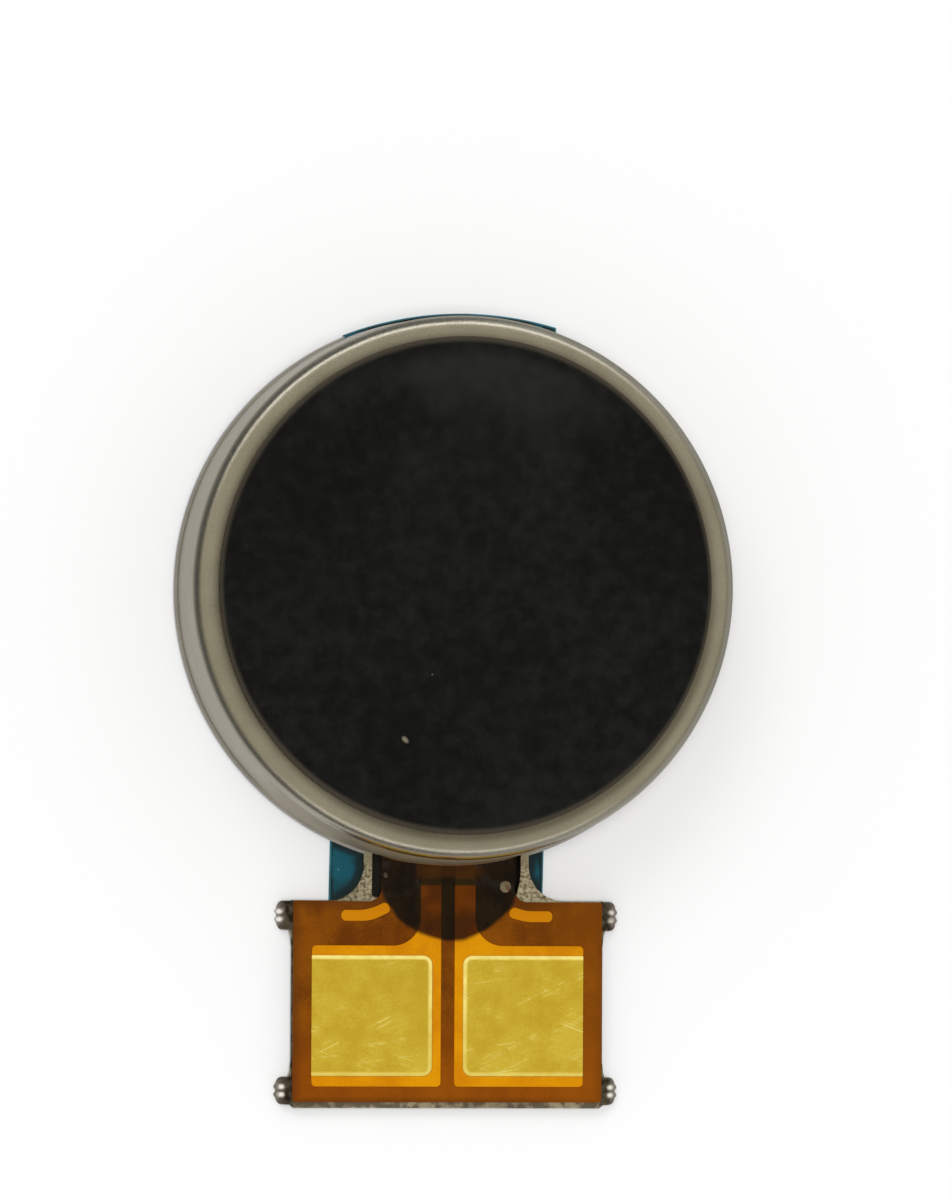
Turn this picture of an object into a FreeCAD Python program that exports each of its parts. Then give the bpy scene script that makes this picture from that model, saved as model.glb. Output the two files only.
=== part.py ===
import FreeCAD, Part
import math
import os

import Sketcher

# Flat vibration motor with an eccentric rotor, in millimetres.
# +Z is the motor's axis, away from the face it is mounted on. z = 0 is the underside of the release film,
# the origin is on the shaft's axis, and the contact tab points along -Y.

# ---------------------------------------------------------------------------------------------------------
# Driving dimensions. Every "..._bottom" and "..._top" is a height above the mounting face.
# ---------------------------------------------------------------------------------------------------------

DIMENSIONS = {
    # Stack of layers
    "tape_bottom": 0.05,
    "plate_bottom": 0.10,
    "plate_top": 0.30,
    "film_bottom": 0.32,
    "copper_bottom": 0.345,
    "copper_top": 0.365,
    "gold_top": 0.375,
    "coverlay_top": 0.39,
    "magnet_bottom": 0.42,
    "magnet_top": 1.10,
    "segment_bottom": 1.22,
    "board_bottom": 1.24,
    "board_top": 1.38,
    "coil_top": 2.05,
    "weight_top": 2.50,
    "can_ceiling": 2.74,
    "can_top": 2.90,
    "foam_bottom": 2.94,
    "foam_top": 3.14,
    # Can
    "can_open_radius": 4.945,
    "can_closed_radius": 4.84,
    "can_wall": 0.16,
    "can_corner": 0.33,
    "can_inner_corner": 0.17,
    "slot_half": 1.27,
    "slot_top": 0.44,
    "slot_inner_end": 4.30,
    "slot_outer_end": 5.20,
    # Foam pad
    "foam_radius": 4.40,
    "pad_tape_radius": 4.30,
    "foam_edge": 0.04,
    "pad_shift_y": 0.02,
    # Base plate
    "base_radius": 5.00,
    "notch_radius": 4.96,
    "notch_outside": 5.30,
    "notch_half": 1.93,
    "leg_left": 1.53,
    "leg_right": 1.475,
    "leg_inside": 4.40,
    "leg_flare": 0.64,
    "window_left": 1.37,
    "window_x": 0.03,
    "window_radius": 1.29,
    "window_inner_end": 4.60,
    "window_ledge": 5.53,
    "window_ledge_round": 0.06,
    "window_centre": 5.03,
    "tab_half": 2.83,
    "tab_near": 5.60,
    "tab_far": 9.35,
    # Ears, the tab's bent-down corners
    "ear_bend_x": 2.88,
    "ear_bend_z": 0.05,
    "ear_root": 2.60,
    "ear_near_start": 5.62,
    "ear_near_end": 6.14,
    "ear_far_start": 8.76,
    "ear_far_end": 9.28,
    "ear_groove": 0.045,
    "ear_edge": 0.11,
    "ear_throat": 0.045,
    # Release film and mounting tape
    "strip_half": 1.95,
    "strip_near_end": 6.60,
    "strip_round": 6.06,
    "strip_round_x": 0.38,
    "strip_round_y": -0.99,
    "strip_shift": -0.085,
    "strip_skew": 1.10,
    "tape_inset": 0.03,
    # Flexible circuit
    "flex_disc_radius": 4.15,
    "flex_hole_radius": 0.70,
    "neck_half": 1.21,
    "neck_inside": 3.90,
    "neck_fillet": 0.22,
    "flex_tab_half": 2.81,
    "flex_tab_near": 5.62,
    "flex_tab_far": 9.24,
    "flex_corner": 0.06,
    "glue_gap": 0.03,
    "coverlay_hole_radius": 1.86,
    "copper_gap_half": 0.12,
    "copper_trace_outer": 0.50,
    "copper_outer": 2.47,
    "copper_near": 6.41,
    "copper_far": 8.96,
    "copper_corner": 0.10,
    "copper_flare": 0.50,
    "copper_inner_end": 1.50,
    "land_near": 0.62,
    "land_outer": 1.14,
    "contact_inner": 0.28,
    "contact_near": 6.59,
    "contact_far": 8.77,
    "contact_corner": 0.17,
    "bar_inner": 1.10,
    "bar_middle": 1.42,
    "bar_outer": 1.92,
    "bar_rise": 0.15,
    "bar_near": 5.77,
    "bar_width": 0.19,
    "bar_round": 0.065,
    # Neck glue
    "glue_x": 1.04,
    "glue_y": 5.34,
    "glue_radius": 0.12,
    "glue_height": 0.05,
    "small_glue_x": 1.14,
    "small_glue_y": 5.14,
    "small_glue_radius": 0.07,
    "small_glue_height": 0.03,
    # Stator
    "shaft_radius": 0.40,
    "shaft_chamfer": 0.06,
    "washer_inner": 0.42,
    "washer_outer": 0.64,
    "lower_washer_top": 0.48,
    "upper_washer_bottom": 2.64,
    "magnet_outer": 3.70,
    "magnet_inner": 1.95,
    "magnet_edge": 0.08,
    "brush_centre": 0.92,
    "brush_width": 0.34,
    "brush_sheet": 0.05,
    "brush_foot_start": 1.40,
    "brush_foot_end": 0.78,
    "brush_tip_start": 0.74,
    "brush_tip_end": 1.02,
    "brush_tip_top": 1.21,
    "brush_tip_drop": 0.12,
    "solder_length": 0.18,
    "solder_height": 0.10,
    # Rotor
    "sleeve_inner": 0.42,
    "sleeve_neck": 0.62,
    "sleeve_outer": 0.95,
    "sleeve_bottom": 0.50,
    "sleeve_top": 2.62,
    "segment_inner": 1.00,
    "segment_outer": 1.78,
    "segment_half_angle": 27.0,
    "rotor_radius": 4.25,
    "board_radius": 4.20,
    "frame_hub": 1.70,
    "frame_half_angle": 94.0,
    "coil_inner": 1.85,
    "coil_outer": 4.15,
    "coil_half_angle": 26.0,
    "coil_corner": 0.40,
    "coil_eye_inner": 2.55,
    "coil_eye_outer": 3.50,
    "coil_eye_half_angle": 11.0,
    "coil_eye_corner": 0.22,
    "coil_pitch": 60.0,
    "weight_half_angle": 82.0,
    "weight_edge": 0.12,
    "joint_radius": 0.13,
    "joint_height": 0.05,
    "joint_ring": 2.30,
    "joint_first": 30.0,
}

SEGMENT_COUNT = 6
JOINT_COUNT = 6
COIL_NAMES = ("coil_1", "coil_2", "coil_3")

doc = FreeCAD.newDocument("coin_motor")
sheet = doc.addObject("Spreadsheet::Sheet", "Dims")
for row, (alias, length) in enumerate(DIMENSIONS.items(), start=1):
    sheet.set(f"A{row}", alias)
    sheet.set(f"B{row}", str(length))
    sheet.setAlias(f"B{row}", alias)
doc.recompute()


class Size:
    """A length or angle that knows both its value and the expression which binds it to the sheet."""

    def __init__(self, value, text):
        self.value = value
        self.text = text

    def __neg__(self):
        return Size(-self.value, f"(-{self.text})")

    def __add__(self, other):
        return Size(self.value + other.value, f"({self.text} + {other.text})")

    def __sub__(self, other):
        return Size(self.value - other.value, f"({self.text} - {other.text})")

    def __mul__(self, factor):
        return Size(self.value * factor, f"({self.text} * {factor})")


def dim(alias):
    return Size(DIMENSIONS[alias], f"Dims.{alias}")


ZERO = Size(0.0, "0")


def polar(radius, angle):
    """The point at a radius and an angle in degrees, counted from +X towards +Y."""
    turn = math.radians(angle.value)
    x = Size(radius.value * math.cos(turn), f"{radius.text} * cos({angle.text} * 1 deg)")
    y = Size(radius.value * math.sin(turn), f"{radius.text} * sin({angle.text} * 1 deg)")
    return x, y


# ---------------------------------------------------------------------------------------------------------
# Sketches
# ---------------------------------------------------------------------------------------------------------


def new_body(label):
    body = doc.addObject("PartDesign::Body", label)
    body.Label = label
    body.AllowCompound = True
    return body


def origin_feature(body, role):
    return next(feature for feature in body.Origin.OriginFeatures if feature.Role == role)


def new_sketch(body, role="XY_Plane", offset=ZERO):
    """A sketch on one of the body's own origin planes, moved along the plane's normal by offset."""
    sketch = body.newObject("Sketcher::SketchObject", f"{body.Label}_sketch")
    sketch.AttachmentSupport = (origin_feature(body, role), [""])
    sketch.MapMode = "FlatFace"
    sketch.setExpression("AttachmentOffset.Base.z", offset.text)
    return sketch


def bind(sketch, constraint, size):
    index = sketch.addConstraint(constraint)
    sketch.setExpression(f"Constraints[{index}]", size.text)


def place_point(sketch, geometry, position, point):
    """Holds one point of a sketch element at two sizes from the sketch's origin."""
    for kind, size in zip(("DistanceX", "DistanceY"), point):
        bind(sketch, Sketcher.Constraint(kind, -1, 1, geometry, position, size.value), size)


def draw_circle(sketch, radius, centre=(ZERO, ZERO)):
    middle = FreeCAD.Vector(centre[0].value, centre[1].value, 0)
    circle = sketch.addGeometry(Part.Circle(middle, FreeCAD.Vector(0, 0, 1), radius.value))
    place_point(sketch, circle, 3, centre)
    bind(sketch, Sketcher.Constraint("Radius", circle, radius.value), radius)


def arc_between(start, end, radius, turn):
    """The shorter arc from start to end. turn is 1 where it runs anticlockwise and -1 where clockwise."""
    chord = end - start
    middle = (start + end) * 0.5
    reach = math.sqrt(radius**2 - (chord.Length / 2) ** 2)
    side = FreeCAD.Vector(-chord.y, chord.x, 0).normalize() * reach * turn
    centre = middle + side
    first, last = (start, end) if turn > 0 else (end, start)
    angles = [math.atan2(point.y - centre.y, point.x - centre.x) for point in (first, last)]
    return Part.ArcOfCircle(Part.Circle(centre, FreeCAD.Vector(0, 0, 1), radius), *angles)


def draw_outline(sketch, corners):
    """A closed outline. A corner is (x, y), or (x, y, radius, turn) where an arc leads to the next one."""
    points = [FreeCAD.Vector(corner[0].value, corner[1].value, 0) for corner in corners]
    ends = []
    for index, corner in enumerate(corners):
        start = points[index]
        end = points[(index + 1) % len(points)]
        if len(corner) == 2:
            edge = sketch.addGeometry(Part.LineSegment(start, end))
            ends.append((edge, 1, 2))
            continue
        radius, turn = corner[2:]
        edge = sketch.addGeometry(arc_between(start, end, radius.value, turn))
        ends.append((edge, 1, 2) if turn > 0 else (edge, 2, 1))
        bind(sketch, Sketcher.Constraint("Radius", edge, radius.value), radius)
    for index, (edge, first, last) in enumerate(ends):
        follower, follower_first, _ = ends[(index + 1) % len(ends)]
        sketch.addConstraint(Sketcher.Constraint("Coincident", edge, last, follower, follower_first))
        place_point(sketch, edge, first, corners[index][:2])


def draw_rectangle(sketch, left, right, low, high):
    draw_outline(sketch, [(left, low), (right, low), (right, high), (left, high)])


# ---------------------------------------------------------------------------------------------------------
# Features
# ---------------------------------------------------------------------------------------------------------


def pad(body, sketch, length):
    feature = body.newObject("PartDesign::Pad", f"{body.Label}_pad")
    feature.Profile = sketch
    feature.setExpression("Length", length.text)
    return feature


def cut_upwards(body, sketch, depth):
    feature = body.newObject("PartDesign::Pocket", f"{body.Label}_pocket")
    feature.Profile = sketch
    feature.Reversed = True
    feature.setExpression("Length", depth.text)
    return feature


def revolve(body, sketch, kind="PartDesign::Revolution", axis="V_Axis", angle=360.0):
    feature = body.newObject(kind, f"{body.Label}_turned")
    feature.Profile = sketch
    feature.ReferenceAxis = (sketch, [axis])
    feature.Angle = angle
    return feature


def edges_where(feature, test):
    doc.recompute()
    return [f"Edge{i}" for i, edge in enumerate(feature.Shape.Edges, start=1) if test(edge)]


def upright_at(places):
    """Picks the vertical edges that stand at any of the given (x, y) places."""
    spots = [(x.value, y.value) for x, y in places]

    def test(edge):
        box = edge.BoundBox
        if box.XLength > 1e-4 or box.YLength > 1e-4:
            return False
        return any(math.hypot(box.XMin - x, box.YMin - y) < 1e-3 for x, y in spots)

    return test


def circle_at(radius, height):
    """Picks the full circles of one radius at one height."""

    def test(edge):
        curve = edge.Curve
        if not isinstance(curve, Part.Circle) or abs(edge.BoundBox.ZLength) > 1e-4:
            return False
        return abs(curve.Radius - radius.value) < 1e-3 and abs(edge.BoundBox.ZMin - height.value) < 1e-3

    return test


def dress(body, kind, feature, test, size):
    """Adds a fillet or chamfer to the picked edges of a feature."""
    edges = edges_where(feature, test)
    if not edges:
        raise ValueError(f"{body.Label}: no edge to dress")
    finish = body.newObject(kind, f"{body.Label}_edges")
    finish.Base = (feature, edges)
    finish.setExpression("Radius" if kind == "PartDesign::Fillet" else "Size", size.text)
    return finish


def fillet(body, feature, test, size):
    return dress(body, "PartDesign::Fillet", feature, test, size)


def ring(label, inner, outer, low, high):
    """A flat ring, or a disc where inner is None."""
    body = new_body(label)
    sketch = new_sketch(body, offset=low)
    draw_circle(sketch, outer)
    if inner is not None:
        draw_circle(sketch, inner)
    pad(body, sketch, high - low)
    return body


def minus(label, blank, tools):
    """The blank with the places of other pieces cut out of it."""
    group = doc.addObject("Part::Compound", f"{label}_tools")
    group.Links = tools
    cut = doc.addObject("Part::Cut", label)
    cut.Label = label
    cut.Base = blank
    cut.Tool = group
    return cut


# ---------------------------------------------------------------------------------------------------------
# Housing
# ---------------------------------------------------------------------------------------------------------


def make_can():
    body = new_body("can")
    wall = dim("can_wall")
    open_radius = dim("can_open_radius")
    closed_radius = dim("can_closed_radius")
    profile = new_sketch(body, "XZ_Plane")
    draw_outline(
        profile,
        [
            (open_radius - wall, dim("plate_top")),
            (open_radius, dim("plate_top")),
            (closed_radius, dim("can_top")),
            (ZERO, dim("can_top")),
            (ZERO, dim("can_ceiling")),
            (closed_radius - wall, dim("can_ceiling")),
        ],
    )
    cup = revolve(body, profile)
    outside = fillet(body, cup, circle_at(closed_radius, dim("can_top")), dim("can_corner"))
    inner_edge = circle_at(closed_radius - wall, dim("can_ceiling"))
    fillet(body, outside, inner_edge, dim("can_inner_corner"))
    # Slot over the flexible circuit
    slot = new_sketch(body, offset=dim("plate_top"))
    half = dim("slot_half")
    draw_rectangle(slot, -half, half, -dim("slot_outer_end"), -dim("slot_inner_end"))
    cut_upwards(body, slot, dim("slot_top") - dim("plate_top"))
    return body


def shifted_disc(label, radius, low, high):
    """A disc of the pad, which is stuck on a little off the can's centre."""
    body = ring(label, None, radius, low, high)
    body.setExpression("Placement.Base.y", dim("pad_shift_y").text)
    return body


def make_foam_pad():
    body = shifted_disc("foam_pad", dim("foam_radius"), dim("foam_bottom"), dim("foam_top"))
    fillet(body, body.Tip, circle_at(dim("foam_radius"), dim("foam_top")), dim("foam_edge"))
    return body


def draw_ear_section(sketch, start, end):
    """The section of one ear where its bend starts: a rectangle across the plate, rounded on the outside."""
    low, high, edge = dim("plate_bottom"), dim("plate_top"), dim("ear_edge")
    left, right = -dim(end), -dim(start)
    draw_outline(
        sketch,
        [
            (left, low),
            (right, low),
            (right, high - edge, edge, 1),
            (right - edge, high),
            (left + edge, high, edge, 1),
            (left, high - edge),
        ],
    )


def draw_bend_axis(sketch):
    """A construction line along Y, through the centre of the ears' bend."""
    height = dim("ear_bend_z")
    start = FreeCAD.Vector(-1, height.value, 0)
    end = FreeCAD.Vector(0, height.value, 0)
    axis = sketch.addGeometry(Part.LineSegment(start, end), True)
    place_point(sketch, axis, 1, (-Size(1.0, "1"), height))
    place_point(sketch, axis, 2, (ZERO, height))


def cut_window(body, level, thickness, margin):
    """The opening under the neck of the flexible circuit: round at the tab, with a ledge on the left."""
    across, radius = dim("window_x"), dim("window_radius") + margin
    left, right = -dim("window_left") - margin, across + radius
    centre, inside = -dim("window_centre"), -dim("window_inner_end")
    neck_side = new_sketch(body, offset=level)
    draw_rectangle(neck_side, left, right, centre, inside)
    cut_upwards(body, neck_side, thickness)
    round_end = new_sketch(body, offset=level)
    draw_circle(round_end, radius, (across, centre))
    cut_upwards(body, round_end, thickness)
    ledge = new_sketch(body, offset=level)
    draw_rectangle(ledge, left, ZERO, -dim("window_ledge") - margin, centre)
    return cut_upwards(body, ledge, thickness)


def make_base_plate():
    body = new_body("base_plate")
    thickness = dim("plate_top") - dim("plate_bottom")
    level = dim("plate_bottom")
    near, far = -dim("tab_near"), -dim("tab_far")
    tab, root = dim("tab_half"), dim("ear_bend_x")
    leg_left, leg_right = -dim("leg_left"), dim("leg_right")

    disc = new_sketch(body, offset=level)
    draw_circle(disc, dim("base_radius"))
    draw_circle(disc, dim("shaft_radius"))
    pad(body, disc, thickness)

    # Legs and tab, in one outline that reaches under the can
    outline = new_sketch(body, offset=level)
    inside = -dim("leg_inside")
    corners = [(leg_left, inside), (leg_left, near), (-tab, near), (-tab, far)]
    corners += [(tab, far), (tab, near), (leg_right, near), (leg_right, inside)]
    draw_outline(outline, corners)
    feature = pad(body, outline, thickness)

    # Roots of the ears, flush with the tab's faces
    for start, end in (("ear_near_start", "ear_near_end"), ("ear_far_start", "ear_far_end")):
        roots = new_sketch(body, offset=level)
        draw_rectangle(roots, -root, -dim("ear_root"), -dim(end), -dim(start))
        draw_rectangle(roots, dim("ear_root"), root, -dim(end), -dim(start))
        feature = pad(body, roots, thickness)

    flare = [(x, near) for x in (leg_left, leg_right)]
    feature = fillet(body, feature, upright_at(flare), dim("leg_flare"))
    ear_sides = (-dim("ear_near_end"), -dim("ear_far_start"))
    throats = [(x, y) for x in (-tab, tab) for y in ear_sides]
    feature = fillet(body, feature, upright_at(throats), dim("ear_throat"))

    feature = cut_window(body, level, thickness, ZERO)
    ledge = [(-dim("window_left"), -dim("window_ledge"))]
    fillet(body, feature, upright_at(ledge), dim("window_ledge_round"))

    # The rim is cut back where the release film stands out at the far side
    notch = new_sketch(body, offset=level)
    half = dim("notch_half")
    radius = dim("notch_radius")
    rim = Size(
        math.sqrt(radius.value**2 - half.value**2), f"sqrt({radius.text} ^ 2 - {half.text} ^ 2)"
    )
    outside = dim("notch_outside")
    draw_outline(notch, [(half, rim, radius, 1), (-half, rim), (-half, outside), (half, outside)])
    cut_upwards(body, notch, thickness)

    # Ears: each bends down through a quarter turn, with a coined groove round the bend
    ears = new_sketch(body, "YZ_Plane", dim("ear_bend_x"))
    draw_ear_section(ears, "ear_near_start", "ear_near_end")
    draw_ear_section(ears, "ear_far_start", "ear_far_end")
    draw_bend_axis(ears)
    bent = revolve(body, ears, axis="Axis0", angle=90.0)
    grooves = new_sketch(body, "YZ_Plane", dim("ear_bend_x"))
    for start, end in (("ear_near_start", "ear_near_end"), ("ear_far_start", "ear_far_end")):
        middle = (dim(start) + dim(end)) * -0.5
        draw_circle(grooves, dim("ear_groove"), (middle, dim("plate_top")))
    draw_bend_axis(grooves)
    coined = revolve(body, grooves, "PartDesign::Groove", "Axis0", 90.0)
    mirror = body.newObject("PartDesign::Mirrored", "base_plate_mirror")
    mirror.Originals = [bent, coined]
    mirror.MirrorPlane = (origin_feature(body, "YZ_Plane"), [""])
    body.Tip = mirror
    return body


# ---------------------------------------------------------------------------------------------------------
# Mounting film and tape
# ---------------------------------------------------------------------------------------------------------


def make_strip(label, low, high, inset):
    """A strip along Y with one round end, laid a little askew as it was stuck on."""
    body = new_body(label)
    half = dim("strip_half") - inset
    radius = dim("strip_round") - inset
    near = -dim("strip_near_end") + inset

    def end_of_round(x):
        across = x - dim("strip_round_x")
        rise = math.sqrt(radius.value**2 - across.value**2)
        return dim("strip_round_y") + Size(rise, f"sqrt({radius.text} ^ 2 - {across.text} ^ 2)")

    sketch = new_sketch(body, offset=low)
    corners = [(half, end_of_round(half), radius, 1), (-half, end_of_round(-half))]
    draw_outline(sketch, [*corners, (-half, near), (half, near)])
    pad(body, sketch, high - low)
    body.setExpression("Placement.Base.x", dim("strip_shift").text)
    skew = FreeCAD.Rotation(FreeCAD.Vector(0, 0, 1), -DIMENSIONS["strip_skew"])
    body.Placement = FreeCAD.Placement(FreeCAD.Vector(DIMENSIONS["strip_shift"], 0, 0), skew)
    return body


# ---------------------------------------------------------------------------------------------------------
# Flexible circuit
# ---------------------------------------------------------------------------------------------------------


def make_flex_sheet(label, low, high, hole, inset=ZERO):
    """A layer of the circuit: a disc inside the can, the neck and the tab."""
    body = new_body(label)
    thickness = high - low
    disc = new_sketch(body, offset=low)
    draw_circle(disc, dim("flex_disc_radius"))
    draw_circle(disc, hole)
    pad(body, disc, thickness)
    neck, tab = dim("neck_half") - inset, dim("flex_tab_half") - inset
    inside, near, far = -dim("neck_inside"), -dim("flex_tab_near") - inset, -dim("flex_tab_far") + inset
    sheet_outline = new_sketch(body, offset=low)
    corners = [(-neck, inside), (-neck, near), (-tab, near), (-tab, far)]
    corners += [(tab, far), (tab, near), (neck, near), (neck, inside)]
    draw_outline(sheet_outline, corners)
    feature = pad(body, sheet_outline, thickness)
    feature = fillet(body, feature, upright_at([(-neck, near), (neck, near)]), dim("neck_fillet"))
    outer = [(x, y) for x in (-tab, tab) for y in (near, far)]
    return body, fillet(body, feature, upright_at(outer), dim("flex_corner"))


def make_flex_adhesive():
    """The bond under the circuit. It is left out over the plate's window, where the neck is free."""
    low, high = dim("plate_top"), dim("film_bottom")
    body, _ = make_flex_sheet("flex_adhesive", low, high, dim("flex_hole_radius"), dim("glue_gap"))
    cut_window(body, low, high - low, dim("glue_gap"))
    return body


def mirrored_x(points, side):
    """The points as they are for the right side, side = 1, and mirrored and reversed for the left, -1."""
    if side > 0:
        return points
    return [(-x, y) for x, y in reversed(points)]


def make_copper(label, side):
    """One conductor: the area under a contact, its trace along the neck and the land for a brush."""
    body = new_body(label)
    level = dim("copper_bottom")
    inner, trace, outer = dim("copper_gap_half"), dim("copper_trace_outer"), dim("copper_outer")
    far, near, end = -dim("copper_far"), -dim("copper_near"), -dim("copper_inner_end")
    land, top = dim("land_outer"), -dim("land_near")
    start = dim("brush_centre") * 2.0 - land
    points = [(inner, far), (outer, far), (outer, near), (trace, near), (trace, end)]
    points += [(land, end), (land, top), (start, top), (start, end + dim("bar_width"))]
    points += [(inner, end + dim("bar_width"))]
    sketch = new_sketch(body, offset=level)
    draw_outline(sketch, mirrored_x(points, side))
    feature = pad(body, sketch, dim("copper_top") - level)
    flare = mirrored_x([(trace, near)], side)
    feature = fillet(body, feature, upright_at(flare), dim("copper_flare"))
    corners = mirrored_x([(inner, far), (outer, far), (outer, near)], side)
    fillet(body, feature, upright_at(corners), dim("copper_corner"))
    return body


def make_tear_stops():
    """Two short cranked copper bars that stop a tear at the neck's corners."""
    body = new_body("tear_stops")
    level = dim("copper_bottom")
    low = -dim("bar_near") - dim("bar_width")
    high = -dim("bar_near")
    rise = dim("bar_rise")
    sketch = new_sketch(body, offset=level)
    for side in (-1, 1):
        points = [(dim("bar_inner"), low + rise), (dim("bar_middle"), low), (dim("bar_outer"), low)]
        points += [(dim("bar_outer"), high), (dim("bar_middle"), high), (dim("bar_inner"), high + rise)]
        draw_outline(sketch, mirrored_x(points, side))
    feature = pad(body, sketch, dim("copper_top") - level)
    ends = [
        (x * side, y)
        for side in (-1.0, 1.0)
        for x, y in (
            (dim("bar_inner"), low + rise),
            (dim("bar_inner"), high + rise),
            (dim("bar_outer"), low),
            (dim("bar_outer"), high),
        )
    ]
    fillet(body, feature, upright_at(ends), dim("bar_round"))
    return body


def contact_places(side):
    """The corners of a contact, and those two of them that lie nearer to the middle."""
    inner, outer = dim("contact_inner"), dim("copper_outer")
    near, far = -dim("contact_near"), -dim("contact_far")
    corners = mirrored_x([(inner, far), (outer, far), (outer, near), (inner, near)], side)
    return corners, mirrored_x([(inner, far), (inner, near)], side)


def make_gold_contact(label, side):
    body = new_body(label)
    corners, inner_corners = contact_places(side)
    sketch = new_sketch(body, offset=dim("copper_top"))
    draw_outline(sketch, corners)
    feature = pad(body, sketch, dim("gold_top") - dim("copper_top"))
    fillet(body, feature, upright_at(inner_corners), dim("contact_corner"))
    return body


def make_coverlay(conductors):
    """The cover film: open over each contact and over the brushes' lands, and hollow over the copper."""
    low, high = dim("copper_bottom"), dim("coverlay_top")
    body, feature = make_flex_sheet("coverlay_blank", low, high, dim("coverlay_hole_radius"))
    windows = new_sketch(body, offset=low)
    rounded = []
    for side in (-1, 1):
        corners, inner_corners = contact_places(side)
        draw_outline(windows, corners)
        rounded += inner_corners
    feature = cut_upwards(body, windows, high - low)
    fillet(body, feature, upright_at(rounded), dim("contact_corner"))
    return minus("flex_coverlay", body, conductors)


def make_neck_glue():
    """Two set drops of glue on the neck, as low domes."""
    body = new_body("neck_glue")
    drops = (
        (dim("glue_x"), dim("glue_y"), dim("glue_radius"), dim("glue_height")),
        (-dim("small_glue_x"), dim("small_glue_y"), dim("small_glue_radius"), dim("small_glue_height")),
    )
    for x, y, radius, rise in drops:
        sketch = new_sketch(body, offset=dim("coverlay_top"))
        draw_circle(sketch, radius, (x, -y))
        drop = pad(body, sketch, rise)
        top = circle_at(radius, dim("coverlay_top") + rise)
        fillet(body, drop, top, rise * 0.9)
    return body


# ---------------------------------------------------------------------------------------------------------
# Stator, inside the can
# ---------------------------------------------------------------------------------------------------------


def make_shaft():
    radius = dim("shaft_radius")
    body = ring("shaft", None, radius, dim("plate_bottom"), dim("can_ceiling"))
    top = circle_at(radius, dim("can_ceiling"))
    dress(body, "PartDesign::Chamfer", body.Tip, top, dim("shaft_chamfer"))
    return body


def make_magnet():
    inner, outer = dim("magnet_inner"), dim("magnet_outer")
    body = ring("ring_magnet", inner, outer, dim("magnet_bottom"), dim("magnet_top"))
    rim = circle_at(outer, dim("magnet_top"))
    dress(body, "PartDesign::Chamfer", body.Tip, rim, dim("magnet_edge"))
    return body


def make_brush(label, side):
    """A leaf spring of thin sheet: a soldered foot, a rising arm and a bent-over tip under the segments."""
    body = new_body(label)
    sheet_size = dim("brush_sheet")
    foot = dim("copper_top")
    top = dim("brush_tip_top")
    foot_start, foot_end = -dim("brush_foot_start"), -dim("brush_foot_end")
    tip_start, tip_end, drop = dim("brush_tip_start"), dim("brush_tip_end"), dim("brush_tip_drop")
    left = dim("brush_centre") * float(side) - dim("brush_width") * 0.5
    sketch = new_sketch(body, "YZ_Plane", left)
    draw_outline(
        sketch,
        [
            (foot_start, foot),
            (foot_end, foot),
            (tip_start, top - sheet_size),
            (tip_end, top - drop),
            (tip_end + sheet_size, top - drop + sheet_size * 0.5),
            (tip_start, top),
            (foot_end - sheet_size * 0.5, foot + sheet_size),
            (foot_start, foot + sheet_size),
        ],
    )
    pad(body, sketch, dim("brush_width"))
    return body


def make_brush_solder():
    """A low fillet of solder behind each brush's foot."""
    body = new_body("brush_solder")
    foot_start = -dim("brush_foot_start")
    level = dim("copper_top")
    for side in (-1.0, 1.0):
        left = dim("brush_centre") * side - dim("brush_width") * 0.5
        sketch = new_sketch(body, "YZ_Plane", left)
        heel = foot_start - dim("solder_length") * 0.5
        draw_outline(
            sketch,
            [(heel, level), (foot_start, level), (foot_start, level + dim("solder_height"))],
        )
        pad(body, sketch, dim("brush_width"))
    return body


# ---------------------------------------------------------------------------------------------------------
# Rotor
# ---------------------------------------------------------------------------------------------------------


def make_sleeve():
    """A stepped bush: its thin end stands between the brushes on the lower washer."""
    body = new_body("bearing_sleeve")
    inner, neck, outer = dim("sleeve_inner"), dim("sleeve_neck"), dim("sleeve_outer")
    low, step, high = dim("sleeve_bottom"), dim("board_bottom"), dim("sleeve_top")
    profile = new_sketch(body, "XZ_Plane")
    draw_outline(
        profile,
        [(inner, low), (neck, low), (neck, step), (outer, step), (outer, high), (inner, high)],
    )
    revolve(body, profile)
    return body


def draw_sector(sketch, inner, outer, middle, half_angle):
    """A piece of a ring about the Z axis, half_angle to each side of the middle angle."""
    first, last = middle - half_angle, middle + half_angle
    draw_outline(
        sketch,
        [
            (*polar(inner, first),),
            (*polar(outer, first), outer, 1),
            (*polar(outer, last),),
            (*polar(inner, last), inner, -1),
        ],
    )


def sector_corners(inner, outer, middle, half_angle):
    angles = (middle - half_angle, middle + half_angle)
    return [polar(radius, angle) for radius in (inner, outer) for angle in angles]


def make_segments():
    body = new_body("commutator_segments")
    sketch = new_sketch(body, offset=dim("segment_bottom"))
    inner, outer = dim("segment_inner"), dim("segment_outer")
    draw_sector(sketch, inner, outer, ZERO, dim("segment_half_angle"))
    segment = pad(body, sketch, dim("board_bottom") - dim("segment_bottom"))
    pattern = body.newObject("PartDesign::PolarPattern", "commutator_segments_pattern")
    pattern.Originals = [segment]
    pattern.Axis = (origin_feature(body, "Z_Axis"), [""])
    pattern.Angle = 360
    pattern.Occurrences = SEGMENT_COUNT
    body.Tip = pattern
    return body


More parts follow.
